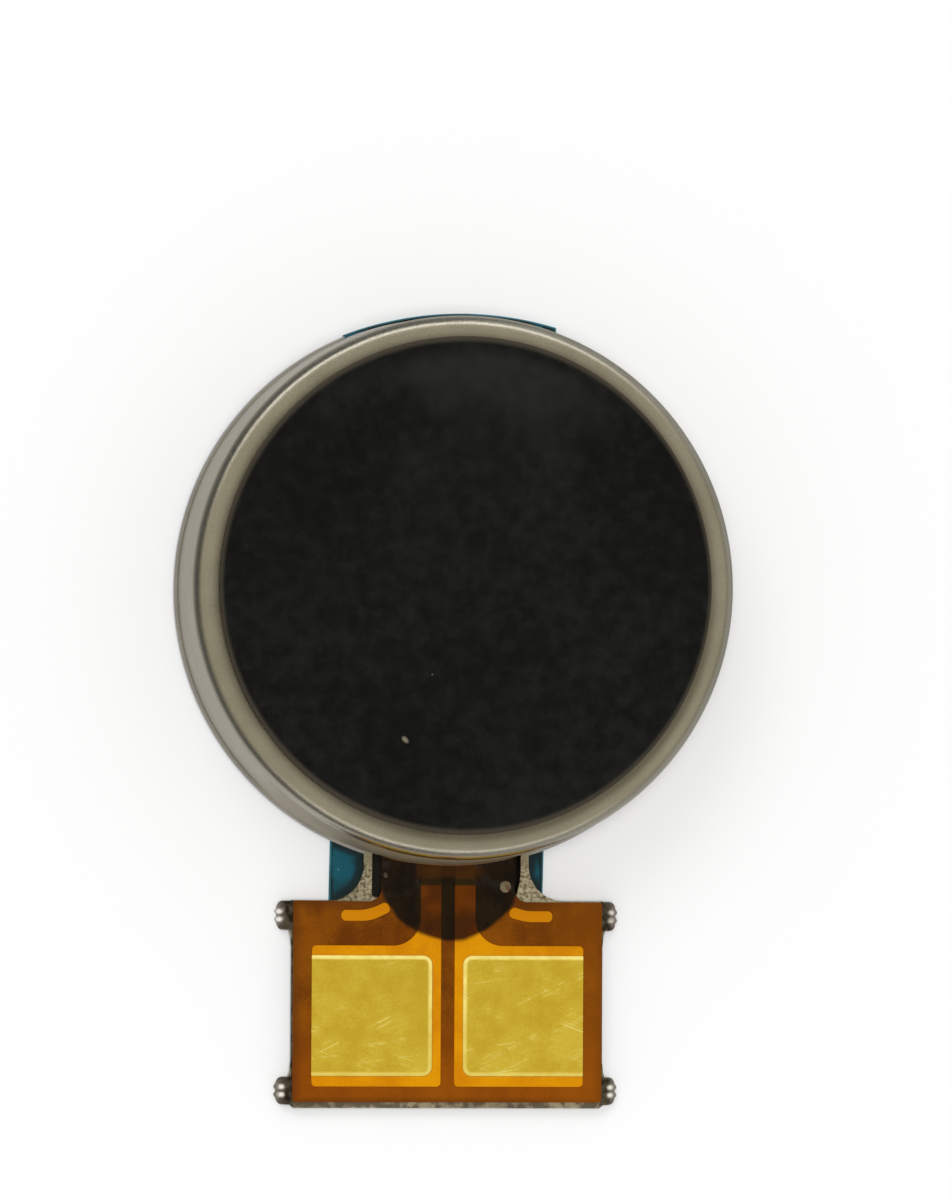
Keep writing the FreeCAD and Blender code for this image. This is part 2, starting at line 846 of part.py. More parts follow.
def make_coil(label, middle):
    """One flat coil, wound as a fan-shaped ring round an open eye."""
    body = new_body(label)
    low, high = dim("board_top"), dim("coil_top")
    outside = (dim("coil_inner"), dim("coil_outer"), middle, dim("coil_half_angle"))
    eye = (dim("coil_eye_inner"), dim("coil_eye_outer"), middle, dim("coil_eye_half_angle"))
    sketch = new_sketch(body, offset=low)
    draw_sector(sketch, *outside)
    draw_sector(sketch, *eye)
    feature = pad(body, sketch, high - low)
    feature = fillet(body, feature, upright_at(sector_corners(*outside)), dim("coil_corner"))
    fillet(body, feature, upright_at(sector_corners(*eye)), dim("coil_eye_corner"))
    return body


def make_weight():
    body = new_body("tungsten_weight")
    low, high = dim("board_top"), dim("weight_top")
    sketch = new_sketch(body, offset=low)
    sector = (dim("frame_hub"), dim("rotor_radius"), Size(90.0, "90"), dim("weight_half_angle"))
    draw_sector(sketch, *sector)
    feature = pad(body, sketch, high - low)
    outer_corners = sector_corners(*sector)[2:]
    fillet(body, feature, upright_at(outer_corners), dim("weight_edge"))
    return body


def make_frame(coils, weight):
    """The resin moulding: a hub round the sleeve and a half disc that the coils are set into."""
    body = new_body("frame_blank")
    low, high = dim("board_top"), dim("coil_top")
    fan = new_sketch(body, offset=low)
    outer = dim("rotor_radius")
    half_angle = dim("frame_half_angle")
    left = polar(outer, Size(-90.0, "-90") - half_angle)
    right = polar(outer, Size(-90.0, "-90") + half_angle)
    bottom = (ZERO, -outer)
    draw_outline(fan, [(*left, outer, 1), (*bottom, outer, 1), (*right,)])
    pad(body, fan, high - low)
    hub = new_sketch(body, offset=low)
    draw_circle(hub, dim("frame_hub"))
    pad(body, hub, high - low)
    bore = new_sketch(body, offset=low)
    draw_circle(bore, dim("sleeve_outer"))
    cut_upwards(body, bore, high - low)
    return minus("rotor_frame", body, [*coils, weight])


def make_coil_solder():
    """The coil ends' solder joints, as low buttons under the board."""
    body = new_body("coil_solder")
    height = dim("joint_height")
    sketch = new_sketch(body, offset=dim("board_bottom") - height)
    centre = polar(dim("joint_ring"), dim("joint_first"))
    draw_circle(sketch, dim("joint_radius"), centre)
    joint = pad(body, sketch, height)
    pattern = body.newObject("PartDesign::PolarPattern", "coil_solder_pattern")
    pattern.Originals = [joint]
    pattern.Axis = (origin_feature(body, "Z_Axis"), [""])
    pattern.Angle = 360
    pattern.Occurrences = JOINT_COUNT
    body.Tip = pattern
    return body


# ---------------------------------------------------------------------------------------------------------
# Assembly
# ---------------------------------------------------------------------------------------------------------


def make_rotor():
    last_coil = Size(-90.0, "-90") - dim("coil_pitch")
    coils = [
        make_coil(name, last_coil + dim("coil_pitch") * float(index))
        for index, name in enumerate(COIL_NAMES)
    ]
    weight = make_weight()
    board = ring(
        "commutator_board", dim("sleeve_outer"), dim("board_radius"), dim("board_bottom"), dim("board_top")
    )
    rotor = [make_sleeve(), board, make_segments(), *coils, weight]
    rotor += [make_frame(coils, weight), make_coil_solder()]
    return rotor


def make_stator():
    washer = (dim("washer_inner"), dim("washer_outer"))
    magnet_bore = (dim("magnet_inner"), dim("magnet_outer"))
    return [
        make_shaft(),
        ring("lower_washer", *washer, dim("plate_top"), dim("lower_washer_top")),
        ring("upper_washer", *washer, dim("upper_washer_bottom"), dim("can_ceiling")),
        ring("magnet_adhesive", *magnet_bore, dim("coverlay_top"), dim("magnet_bottom")),
        make_magnet(),
        make_brush("brush_left", -1),
        make_brush("brush_right", 1),
        make_brush_solder(),
    ]


def make_flex():
    low, high = dim("film_bottom"), dim("copper_bottom")
    film, _ = make_flex_sheet("flex_base", low, high, dim("flex_hole_radius"))
    conductors = [make_copper("copper_left", -1), make_copper("copper_right", 1), make_tear_stops()]
    contacts = [make_gold_contact("gold_contact_left", -1), make_gold_contact("gold_contact_right", 1)]
    return [make_flex_adhesive(), film, *conductors, make_coverlay(conductors), *contacts, make_neck_glue()]


def make_housing():
    return [
        make_can(),
        shifted_disc("pad_adhesive", dim("pad_tape_radius"), dim("can_top"), dim("foam_bottom")),
        make_foam_pad(),
        make_base_plate(),
        make_strip("mounting_adhesive", dim("tape_bottom"), dim("plate_bottom"), dim("tape_inset")),
        make_strip("release_film", ZERO, dim("tape_bottom"), ZERO),
    ]


def check_and_export(parts):
    doc.recompute()
    for item in doc.Objects:
        if "Invalid" in item.State or "Error" in item.State:
            raise ValueError(f"{item.Label} failed: {item.State}")
    os.makedirs("parts", exist_ok=True)
    for part in parts:
        shape = part.Shape
        if shape.isNull() or not shape.isValid() or not shape.Solids:
            raise ValueError(f"{part.Label} has no valid solid")
        shape.exportStep(f"parts/{part.Label}.step")
        print(f"{part.Label:22s} {len(shape.Solids)} solid(s) {shape.Volume:9.4f} mm3")


check_and_export(make_housing() + make_flex() + make_stator() + make_rotor())
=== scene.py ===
import math
from functools import partialmethod

import bmesh
import bpy
from mathutils import Matrix, Vector, noise


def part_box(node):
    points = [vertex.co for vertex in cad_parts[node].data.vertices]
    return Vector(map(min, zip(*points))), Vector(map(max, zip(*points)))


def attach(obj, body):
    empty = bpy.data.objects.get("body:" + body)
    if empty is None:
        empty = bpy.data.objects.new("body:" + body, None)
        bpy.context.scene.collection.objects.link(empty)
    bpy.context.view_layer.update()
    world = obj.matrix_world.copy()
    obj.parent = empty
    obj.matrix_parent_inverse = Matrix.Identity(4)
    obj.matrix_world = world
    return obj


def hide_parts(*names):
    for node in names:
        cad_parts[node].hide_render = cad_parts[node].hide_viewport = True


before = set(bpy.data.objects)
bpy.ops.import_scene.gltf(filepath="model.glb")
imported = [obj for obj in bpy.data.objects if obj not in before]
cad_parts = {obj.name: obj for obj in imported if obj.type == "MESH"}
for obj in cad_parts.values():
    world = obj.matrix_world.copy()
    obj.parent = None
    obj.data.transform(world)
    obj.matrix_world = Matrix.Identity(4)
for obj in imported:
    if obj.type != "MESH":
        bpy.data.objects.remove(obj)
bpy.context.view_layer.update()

# Pieces are drawn in millimetres and scaled to the frame's metres when they are finished.
MM = 0.001
TURN_STEPS = 256  # steps round a full turn of the can
ARC_STEP = math.radians(5)  # steps along small arcs


# ---- Sizes from the frame ----


def box_mm(node):
    low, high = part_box(node)
    return Vector(low) / MM, Vector(high) / MM


CAN_LOW, CAN_HIGH = box_mm("can")
PLATE_HIGH = box_mm("base_plate")[1]
FOAM_LOW, FOAM_HIGH = box_mm("foam_pad")
FILM_LOW, FILM_HIGH = box_mm("release_film")
TAPE_LOW, TAPE_HIGH = box_mm("mounting_adhesive")
COVER_LOW, COVER_HIGH = box_mm("flex_coverlay")
GOLD_LOW, GOLD_HIGH = box_mm("gold_contact_right")
COPPER_HIGH = box_mm("copper_right")[1]

PLATE_TOP = CAN_LOW.z
PLATE_THICKNESS = PLATE_TOP - TAPE_HIGH.z
PAD_CENTRE = (FOAM_LOW + FOAM_HIGH) / 2
PAD_RADIUS = (FOAM_HIGH.x - FOAM_LOW.x) / 2
SLOT_HALF, SLOT_TOP = 1.27, PLATE_TOP + 0.14

# Plate
TAB_NEAR, TAB_FAR = -5.60, -9.35
LEG_LEFT, LEG_RIGHT, LEG_FLARE = 1.53, 1.475, 0.64
WINDOW_X, WINDOW_CENTRE, WINDOW_RADIUS = 0.03, 5.03, 1.29
WINDOW_LEFT, WINDOW_LEDGE = 1.37, 5.53
EAR_NEAR, EAR_FAR = (-6.14, -5.61), (-9.29, -8.79)
EAR_BEND_X = 2.88
# Copper areas and the windows over the contacts
INNER, OUTER, TRACE_OUTER = 0.12, 2.47, 0.50
COPPER_NEAR, COPPER_FAR = -6.41, -8.96
CONTACT_INNER, CONTACT_NEAR, CONTACT_FAR = 0.28, -6.59, -8.77
WINDOW_ROUND = 0.17
COVER_STEP = 0.014  # how far the cover film stands up over the copper
UNDER_CAN = -4.2  # where the raised part of the cover film ends, inside the can

DOUBLED = 1e-5  # points of a mesh that are nearer than this are one point
ROUNDING = 1e-4  # how far a mesh's point may lie from the height it was given


# ---- Outlines ----


def arc(centre, radius, first, last, step=ARC_STEP):
    """Points of an arc, from the first angle to the last, in degrees."""
    first, last = math.radians(first), math.radians(last)
    count = max(2, math.ceil(abs(last - first) / step))
    angles = [first + (last - first) * i / count for i in range(count + 1)]
    return [(centre[0] + radius * math.cos(a), centre[1] + radius * math.sin(a)) for a in angles]


def rounded(corners):
    """A closed outline. A corner is (x, y), or (x, y, radius) where it is rounded."""
    outline = []
    for index, corner in enumerate(corners):
        here = Vector(corner[:2])
        if len(corner) == 2:
            outline.append(tuple(here))
            continue
        before = Vector(corners[index - 1][:2]) - here
        after = Vector(corners[(index + 1) % len(corners)][:2]) - here
        before.normalize()
        after.normalize()
        half = before.angle(after) / 2
        reach = corner[2] / math.tan(half)
        centre = here + (before + after).normalized() * (corner[2] / math.sin(half))
        start = here + before * reach - centre
        turn = start.angle_signed(here + after * reach - centre)
        count = max(2, math.ceil(abs(turn) / ARC_STEP))
        for i in range(count + 1):
            spoke = start.copy()
            spoke.rotate(Matrix.Rotation(-turn * i / count, 2))
            outline.append(tuple(centre + spoke))
    return outline


def mirrored(outline):
    return [(-x, y) for x, y in reversed(outline)]


# ---- Meshes ----


def link(name, mesh):
    piece = bpy.data.objects.new(name, mesh)
    bpy.context.scene.collection.objects.link(piece)
    return piece


def clean(mesh, dissolve=False):
    """Joins doubled points, can dissolve faces without area, and turns the faces outwards."""
    tidy = bmesh.new()
    tidy.from_mesh(mesh)
    bmesh.ops.remove_doubles(tidy, verts=tidy.verts, dist=DOUBLED)
    if dissolve:
        bmesh.ops.dissolve_degenerate(tidy, edges=tidy.edges, dist=DOUBLED / 10)
    bmesh.ops.recalc_face_normals(tidy, faces=tidy.faces)
    tidy.to_mesh(mesh)
    tidy.free()


def from_faces(name, points, faces):
    mesh = bpy.data.meshes.new(name)
    mesh.from_pydata(points, [], faces)
    clean(mesh)
    return link(name, mesh)


def lathe(name, profile, steps=TURN_STEPS):
    """A closed (radius, height) profile turned about the Z axis."""
    points = []
    for i in range(steps):
        a = 2 * math.pi * i / steps
        points += [(r * math.cos(a), r * math.sin(a), z) for r, z in profile]
    count = len(profile)
    faces = []
    for i in range(steps):
        here, there = i * count, (i + 1) % steps * count
        for j in range(count):
            k = (j + 1) % count
            if max(profile[j][0], profile[k][0]) < DOUBLED / 10:
                continue  # both ends lie on the axis
            faces.append((here + j, here + k, there + k, there + j))
    return from_faces(name, points, faces)


def plate(name, outline, low, high, edge, holes=()):
    """A flat piece between two heights, with rounded edges."""
    curve = bpy.data.curves.new(name, "CURVE")
    curve.dimensions = "2D"
    curve.fill_mode = "BOTH"
    for ring in (outline, *holes):
        spline = curve.splines.new("POLY")
        spline.points.add(len(ring) - 1)
        for point, (x, y) in zip(spline.points, ring):
            point.co = (x, y, 0, 1)
        spline.use_cyclic_u = True
    curve.extrude = (high - low) / 2 - edge
    curve.bevel_depth = edge
    curve.bevel_resolution = 2
    curve.offset = -edge
    drawn = bpy.data.objects.new(name + "_drawn", curve)
    bpy.context.scene.collection.objects.link(drawn)
    graph = bpy.context.evaluated_depsgraph_get()
    mesh = bpy.data.meshes.new_from_object(drawn.evaluated_get(graph), depsgraph=graph)
    mesh.transform(Matrix.Translation((0, 0, (low + high) / 2)))
    bpy.data.objects.remove(drawn)
    clean(mesh, dissolve=True)
    mesh.name = name
    return link(name, mesh)


def join_shapes(piece, others, operation="UNION"):
    """Adds or cuts the other shapes, which are then removed."""
    for other in others:
        change = piece.modifiers.new("shape", "BOOLEAN")
        change.operation = operation
        change.solver = "EXACT"
        change.object = other
    graph = bpy.context.evaluated_depsgraph_get()
    mesh = bpy.data.meshes.new_from_object(piece.evaluated_get(graph), depsgraph=graph)
    piece.modifiers.clear()
    piece.data = mesh
    for other in others:
        bpy.data.objects.remove(other)


def block(name, low, high):
    points = [(x, y, z) for x in (low[0], high[0]) for y in (low[1], high[1]) for z in (low[2], high[2])]
    faces = [(0, 1, 3, 2), (4, 6, 7, 5), (0, 4, 5, 1), (2, 3, 7, 6), (0, 2, 6, 4), (1, 5, 7, 3)]
    return from_faces(name, points, faces)


def finish_piece(piece, node, body, look, sharp=35, sheet=False):
    """Scales a drawn piece to metres, and gives it its shading, its material and its place in the object.

    The faces of a sheet are shaded flat, and only its edges are shaded round.
    """
    mesh = piece.data
    mesh.transform(Matrix.Scale(MM, 4))
    mesh.materials.clear()
    mesh.materials.append(look)
    level = [sheet and abs(face.normal.z) > 0.99999 for face in mesh.polygons]
    mesh.polygons.foreach_set("use_smooth", [not flat for flat in level])
    mesh.set_sharp_from_angle(angle=math.radians(sharp))
    if not sheet:
        weigh = piece.modifiers.new("even_shading", "WEIGHTED_NORMAL")
        weigh.keep_sharp = True
        weigh.weight = 80
    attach(piece, body)
    if node:
        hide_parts(node)
    return piece


# ---- Materials ----


class Look:
    """A procedural material. Lengths in its patterns are millimetres in the object's frame."""

    def __init__(self, name):
        self.material = bpy.data.materials.new(name)
        self.material.use_nodes = True
        self.tree = self.material.node_tree
        self.shader = self.tree.nodes["Principled BSDF"]
        place = self.tree.nodes.new("ShaderNodeTexCoord")
        scaled = self.tree.nodes.new("ShaderNodeVectorMath")
        scaled.operation = "SCALE"
        scaled.inputs["Scale"].default_value = 1 / MM
        self.tree.links.new(place.outputs["Object"], scaled.inputs[0])
        self.place = scaled.outputs[0]

    def connect(self, value, socket):
        if isinstance(value, bpy.types.NodeSocket):
            self.tree.links.new(value, socket)
        else:
            socket.default_value = value

    def stretched(self, x, y, z):
        """The place, scaled by a different factor along each axis."""
        node = self.tree.nodes.new("ShaderNodeVectorMath")
        node.operation = "MULTIPLY"
        self.connect(self.place, node.inputs[0])
        node.inputs[1].default_value = (x, y, z)
        return node.outputs[0]

    def turned(self, angle, x, y):
        """The place, turned about Z by an angle in degrees and then scaled."""
        node = self.tree.nodes.new("ShaderNodeMapping")
        node.vector_type = "TEXTURE"
        self.connect(self.place, node.inputs["Vector"])
        node.inputs["Rotation"].default_value = (0, 0, math.radians(angle))
        node.inputs["Scale"].default_value = (1 / x, 1 / y, 1)
        return node.outputs[0]

    def grain(self, scale, detail=3.0, roughness=0.5, place=None):
        """Noise from 0 to 1. scale is how many cells there are per millimetre."""
        node = self.tree.nodes.new("ShaderNodeTexNoise")
        self.connect(place or self.place, node.inputs["Vector"])
        node.inputs["Scale"].default_value = scale
        node.inputs["Detail"].default_value = detail
        node.inputs["Roughness"].default_value = roughness
        return node.outputs["Fac"]

    def cells(self, scale):
        """The distance to the nearest of many scattered points, in cells."""
        node = self.tree.nodes.new("ShaderNodeTexVoronoi")
        self.connect(self.place, node.inputs["Vector"])
        node.inputs["Scale"].default_value = scale
        return node.outputs["Distance"]

    def maths(self, operation, first, second=0.0):
        node = self.tree.nodes.new("ShaderNodeMath")
        node.operation = operation
        self.connect(first, node.inputs[0])
        self.connect(second, node.inputs[1])
        return node.outputs[0]

    plus, minus = partialmethod(maths, "ADD"), partialmethod(maths, "SUBTRACT")
    least, most = partialmethod(maths, "MINIMUM"), partialmethod(maths, "MAXIMUM")
    positive = partialmethod(maths, "ABSOLUTE")

    def times(self, value, *factors):
        for factor in factors:
            value = self.maths("MULTIPLY", value, factor)
        return value

    def weighted(self, *parts):
        """The sum of several patterns, each given with its share."""
        total, *others = [self.times(*part) for part in parts]
        for other in others:
            total = self.plus(total, other)
        return total

    def axis(self, index):
        node = self.tree.nodes.new("ShaderNodeSeparateXYZ")
        self.connect(self.place, node.inputs[0])
        return node.outputs[index]

    def spread(self, value, low, high, out_low=0.0, out_high=1.0):
        """Maps low..high smoothly to out_low..out_high, held at both ends."""
        node = self.tree.nodes.new("ShaderNodeMapRange")
        node.interpolation_type = "SMOOTHSTEP"
        self.connect(value, node.inputs["Value"])
        for name, size in (("From Min", low), ("From Max", high), ("To Min", out_low), ("To Max", out_high)):
            node.inputs[name].default_value = size
        return node.outputs["Result"]

    def mix(self, share, first, second):
        node = self.tree.nodes.new("ShaderNodeMix")
        node.data_type = "RGBA"
        self.connect(share, node.inputs["Factor"])
        for value, socket in ((first, node.inputs[6]), (second, node.inputs[7])):
            self.connect((*value, 1.0) if isinstance(value, tuple) else value, socket)
        return node.outputs[2]

    def tint(self, base, mask, shade, share=None):
        """Lays a screen colour over the base where the mask is 1, up to the share."""
        if share is not None:
            mask = self.times(mask, share)
        return self.mix(mask, base, colour(*shade))

    def bump(self, height, depth, under=None):
        """Relief of the given depth in millimetres, over any relief made before."""
        node = self.tree.nodes.new("ShaderNodeBump")
        node.inputs["Distance"].default_value = depth * MM
        self.connect(height, node.inputs["Height"])
        if under is not None:
            self.connect(under, node.inputs["Normal"])
        return node.outputs["Normal"]

    def beyond(self, value, edge, soft):
        """0 below the edge and 1 above it, over a soft width. A negative width turns it round."""
        if soft < 0:
            return self.spread(value, edge + soft / 2, edge - soft / 2, 1.0, 0.0)
        return self.spread(value, edge - soft / 2, edge + soft / 2)

    def length(self, first, second):
        """The length of a line, from its extents along two axes."""
        return self.maths("SQRT", self.plus(*[self.times(value, value) for value in (first, second)]))

    def corner_distance(self, across, along, radius):
        """How far inside an outline a place is, from its distances to two sides that meet in a round corner."""
        inward = [self.most(self.minus(radius, value), 0.0) for value in (across, along)]
        return self.minus(radius, self.length(*inward))

    def set(self, **values):
        """Sets inputs of the shader, such as base_color or coat_weight."""
        for name, value in values.items():
            socket = self.shader.inputs[name.replace("_", " ").title().replace("Ior", "IOR")]
            self.connect((*value, 1.0) if isinstance(value, tuple) and len(value) == 3 else value, socket)
        return self


def colour(red, green, blue):
    """A colour given as it looks on a screen, from 0 to 255."""
    shares = (red / 255, green / 255, blue / 255)
    return tuple(v / 12.92 if v <= 0.04045 else ((v + 0.055) / 1.055) ** 2.4 for v in shares)


def steel_look(name, light, dark, roughness, stretch, edge=0.75):
    """Satin nickel-plated steel: cloudy tone and a grain that follows the drawing or rolling.

    The edge is how bright the steel stays where it is seen at a low angle.
    """
    look = Look(name)
    clouds = look.grain(0.9, 4)
    fine = look.grain(30, 2, 0.5)
    along = look.grain(9, 3, 0.6, look.stretched(*stretch))
    tone = look.weighted((clouds, 0.6), (fine, 0.4))
    base = look.mix(look.spread(tone, 0.32, 0.68), dark, light)
    relief = look.bump(look.grain(1.3, 2), 0.010)
    relief = look.bump(fine, 0.0007, relief)
    relief = look.bump(along, 0.0006, relief)
    look.set(metallic=1.0, roughness=look.spread(along, 0.3, 0.7, roughness - 0.05, roughness + 0.05))
    look.set(base_color=base, normal=relief, specular_tint=(edge, edge * 0.97, edge * 0.90))
    return look, base


def can_look():
    """The drawn can: painted shade beside the pad, partly adhesive residue, a painted lighter outer ring, a
    painted brown highlight on the lip over the neck, and rougher low on that side.
    """
    look, base = steel_look("can_steel", colour(172, 168, 157), colour(150, 146, 135), 0.27, (1, 1, 14), 0.62)
    across, along, height = (look.axis(index) for index in range(3))
    # Painted shade beside the pad, partly adhesive residue; it reaches further out on one side.
    from_pad = look.length(look.minus(across, PAD_CENTRE.x), look.minus(along, PAD_CENTRE.y))
    wider = look.spread(look.minus(look.times(across, 0.4), along), 1.5, 4.5, 0.0, 0.09)
    from_pad_shade = look.minus(from_pad, wider)
    pad_shade_and_residue = look.spread(from_pad_shade, PAD_RADIUS - 0.02, PAD_RADIUS + 0.16, 0.7, 0.0)
    base = look.tint(base, pad_shade_and_residue, (104, 98, 86))
    # Painted light: the flat ring grows lighter towards its outer edge.
    outer = look.spread(look.length(across, along), PAD_RADIUS + 0.08, PAD_RADIUS + 0.24, 0.0, 0.35)
    base = look.tint(base, outer, (186, 182, 168))
    # Painted highlight: a light brown band low on the wall, on the lip over the neck.
    by_neck = look.beyond(look.positive(across), SLOT_HALF, -0.1)
    by_neck = look.times(by_neck, look.beyond(along, -4.0, -0.2))
    foot = look.times(look.beyond(height, SLOT_TOP + 0.13, -0.10), by_neck)
    base = look.tint(base, foot, (190, 150, 106), 0.7)
    drawn = look.spread(look.grain(9, 3, 0.6, look.stretched(1, 1, 14)), 0.3, 0.7, 0.22, 0.32)
    low_front = look.times(look.beyond(height, 2.3, -0.4), look.beyond(along, -3.6, -0.6))
    rough = look.plus(drawn, look.times(low_front, 0.36))
    return look.set(base_color=base, roughness=rough).material


def plate_look():
    """The stamped plate: speckled legs, and ears with painted shade where they bend, painted light round their
    ridges and painted highlights on the ridges.
    """
    look, base = steel_look("plate_steel", colour(216, 207, 186), colour(142, 133, 114), 0.34, (1, 16, 1))
    across, along = look.positive(look.axis(0)), look.axis(1)
    # Painted light: the plate's rim round the can is lighter.
    rim = look.beyond(look.length(across, along), CAN_HIGH.x - 0.06, 0.06)
    rim = look.times(rim, look.beyond(along, -4.75, 0.1))
    base = look.tint(base, rim, (172, 172, 180), 0.8)
    on_tab = look.beyond(along, -5.55, -0.04)
    on_legs = look.times(look.beyond(along, -4.95, -0.06), look.beyond(along, TAB_NEAR, 0.06))
    speckles = look.grain(16, 3, 0.6)
    pale = look.times(on_legs, look.spread(speckles, 0.46, 0.62, 0.0, 0.42))
    base = look.tint(base, pale, (236, 226, 202))
    pitted = look.times(on_legs, look.spread(speckles, 0.36, 0.52, 0.78, 0.0))
    base = look.tint(base, pitted, (84, 76, 62))
    # Painted shade on the ears where they bend down, patchy.
    bend_shade = look.times(look.beyond(across, 2.79, 0.05), on_tab)
    patchy = look.spread(look.grain(6, 3), 0.40, 0.62, 0.82, 1.0)
    base = look.tint(base, look.times(bend_shade, patchy), (50, 43, 38))
    from_middles = [look.positive(look.minus(along, sum(ear) / 2)) for ear in (EAR_NEAR, EAR_FAR)]
    from_middle = look.least(*from_middles)
    # Painted light on the outer bend of each ear, round its ridges.
    outside = look.times(look.beyond(across, 2.96, 0.10), look.beyond(from_middle, 0.19, -0.12))
    outside = look.times(outside, on_tab)
    base = look.tint(base, outside, (140, 131, 122), 0.8)
    # Pale metal at the small fillets where an ear meets the tab's side
    from_fillet = [look.positive(look.minus(along, place)) for place in (-6.22, -8.70)]
    fillets = look.beyond(look.least(*from_fillet), 0.07, -0.08)
    fillets = look.times(fillets, look.beyond(across, 2.83, 0.03))
    base = look.tint(base, fillets, (190, 180, 160), 0.6)
    # Painted highlights on the ridges, nearer the tab on the right than on the left
    far_left = look.times(look.beyond(along, -7.5, -0.1), look.beyond(look.axis(0), 0.0, -0.1))
    spot = look.spread(look.axis(0), -0.1, 0.1, 3.055, 2.985)
    spot = look.minus(spot, look.times(far_left, 0.05))
    beside = look.times(look.minus(across, spot), 0.75)
    from_ridge = look.length(beside, look.minus(from_middle, 0.070))
    ridge_highlight = look.times(look.beyond(from_ridge, 0.040, -0.06), on_tab)
    ridge_highlight = look.times(ridge_highlight, look.spread(look.grain(3.5, 1), 0.38, 0.55, 0.45, 1.0))
    base = look.tint(base, ridge_highlight, (250, 246, 238))
    blotches = look.spread(look.grain(5, 3), 0.44, 0.58, 0.85, 0.15)
    stained = look.times(look.beyond(along, -9.22, -0.03), blotches)
    base = look.tint(base, stained, (106, 94, 84))
    # Less metallic under the painted highlights, so that they show bright.
    look.set(base_color=base, metallic=look.minus(1.0, look.times(ridge_highlight, 0.75)))
    return look.material


def foam_look():
    """Black foam: matte and faintly mottled, with a few pale specks, a painted sheen towards the top, and a
    lighter, browner cut edge.
    """
    look = Look("foam_black")
    clouds = look.grain(0.30, 3, 0.5)
    mottled = look.grain(3.6, 4, 0.6)
    fine = look.grain(40, 2, 0.5)
    tone = look.weighted((clouds, 0.3), (mottled, 0.45), (fine, 0.25))
    base = look.mix(look.spread(tone, 0.40, 0.64), colour(13, 13, 12), colour(27, 27, 26))
    dust = look.spread(look.cells(1.1), 0.0, 0.030, 1.0, 0.0)
    base = look.tint(base, dust, (150, 145, 125), 0.35)
    across = look.minus(look.axis(0), PAD_CENTRE.x)
    along = look.minus(look.axis(1), PAD_CENTRE.y)
    from_centre = look.length(across, along)
    # Painted sheen: the foam is lighter towards the top, away from its edge.
    top_sheen = look.times(look.spread(along, 1.0, 4.2), look.spread(clouds, 0.40, 0.60))
    top_sheen = look.times(top_sheen, look.spread(from_centre, PAD_RADIUS - 0.40, PAD_RADIUS - 0.12, 1.0, 0.0))
    base = look.tint(base, top_sheen, (46, 46, 44), 0.4)
    # One short fibre that lies at 45 degrees
    fibre_x, fibre_y = look.plus(across, 1.09), look.plus(along, 2.755)
    lengthwise = look.times(look.minus(fibre_x, fibre_y), 0.42)
    fibre = look.length(lengthwise, look.times(look.plus(fibre_x, fibre_y), 0.71))
    base = look.tint(base, look.beyond(fibre, 0.038, -0.04), (120, 112, 95))
    # Lighter and browner over the last tenth of a millimetre of the cut edge.
    cut_edge = look.spread(from_centre, PAD_RADIUS - 0.10, PAD_RADIUS, 0.0, 0.45)
    base = look.tint(base, cut_edge, (92, 84, 70))
    relief = look.bump(look.cells(20), 0.005)
    relief = look.bump(mottled, 0.010, relief)
    look.set(base_color=base, roughness=look.spread(fine, 0.3, 0.7, 0.70, 0.9))
    return look.set(specular_ior_level=0.12, normal=relief).material


FILM_TEAL = colour(12, 82, 97)
FILM_DEEP = colour(10, 62, 74)


def film_look():
    """Blue release film, glossy."""
    look = Look("film_blue")
    patches = look.grain(1.1, 2, 0.4)
    fine = look.grain(14, 3)
    base = look.mix(look.spread(patches, 0.42, 0.60), colour(22, 84, 98), colour(38, 112, 128))
    base = look.tint(base, fine, (90, 150, 160), 0.2)
    relief = look.bump(patches, 0.02)
    relief = look.bump(fine, 0.0015, relief)
    look.set(base_color=base, roughness=look.spread(fine, 0.3, 0.7, 0.22, 0.36))
    return look.set(specular_ior_level=0.3, normal=relief).material


def tape_look():
    """Clear tape that shows the film's blue. It is dark along the legs, partly dark adhesive and partly painted
    shade, and along the strip's sides; it carries painted shade round the can, and is nearly black between the
    legs.
    """
    look = Look("tape_clear")
    patches = look.grain(1.6, 3, 0.5)
    across, along = look.axis(0), look.axis(1)
    base = look.mix(look.spread(patches, 0.40, 0.62), FILM_DEEP, FILM_TEAL)
    specks = look.spread(look.cells(3.0), 0.0, 0.10, 1.0, 0.0)
    base = look.tint(base, specks, (120, 170, 176), 0.5)
    to_tab = look.plus(along, -TAB_NEAR)
    to_left_leg = look.minus(-LEG_LEFT, across)
    to_right_leg = look.minus(across, LEG_RIGHT)
    to_leg = look.most(to_left_leg, to_right_leg)
    clear = look.corner_distance(to_leg, to_tab, LEG_FLARE)
    wavy = look.plus(clear, look.times(look.minus(patches, 0.5), 0.22))
    # Dark along the legs' edges: partly dark adhesive, partly painted shade cast by the legs.
    dark = look.beyond(wavy, 0.13, -0.14)
    from_side = look.minus(1.92, look.positive(look.plus(across, 0.18)))
    uneven = look.plus(from_side, look.times(patches, 0.2))
    dark = look.most(dark, look.beyond(uneven, 0.15, -0.06))
    # Painted shade round the can's rim.
    rim = look.beyond(look.length(across, along), PLATE_HIGH.x + 0.10, -0.10)
    dark = look.most(dark, look.times(rim, look.beyond(along, 0.0, -1.0)))
    base = look.tint(base, dark, (16, 30, 32), 0.88)
    # Nearly black between and under the legs and the tab.
    hidden = look.beyond(clear, -0.02, -0.04)
    base = look.tint(base, hidden, (14, 10, 7))
    look.set(base_color=base, roughness=0.25, specular_ior_level=0.2)
    return look.set(normal=look.bump(patches, 0.02)).material


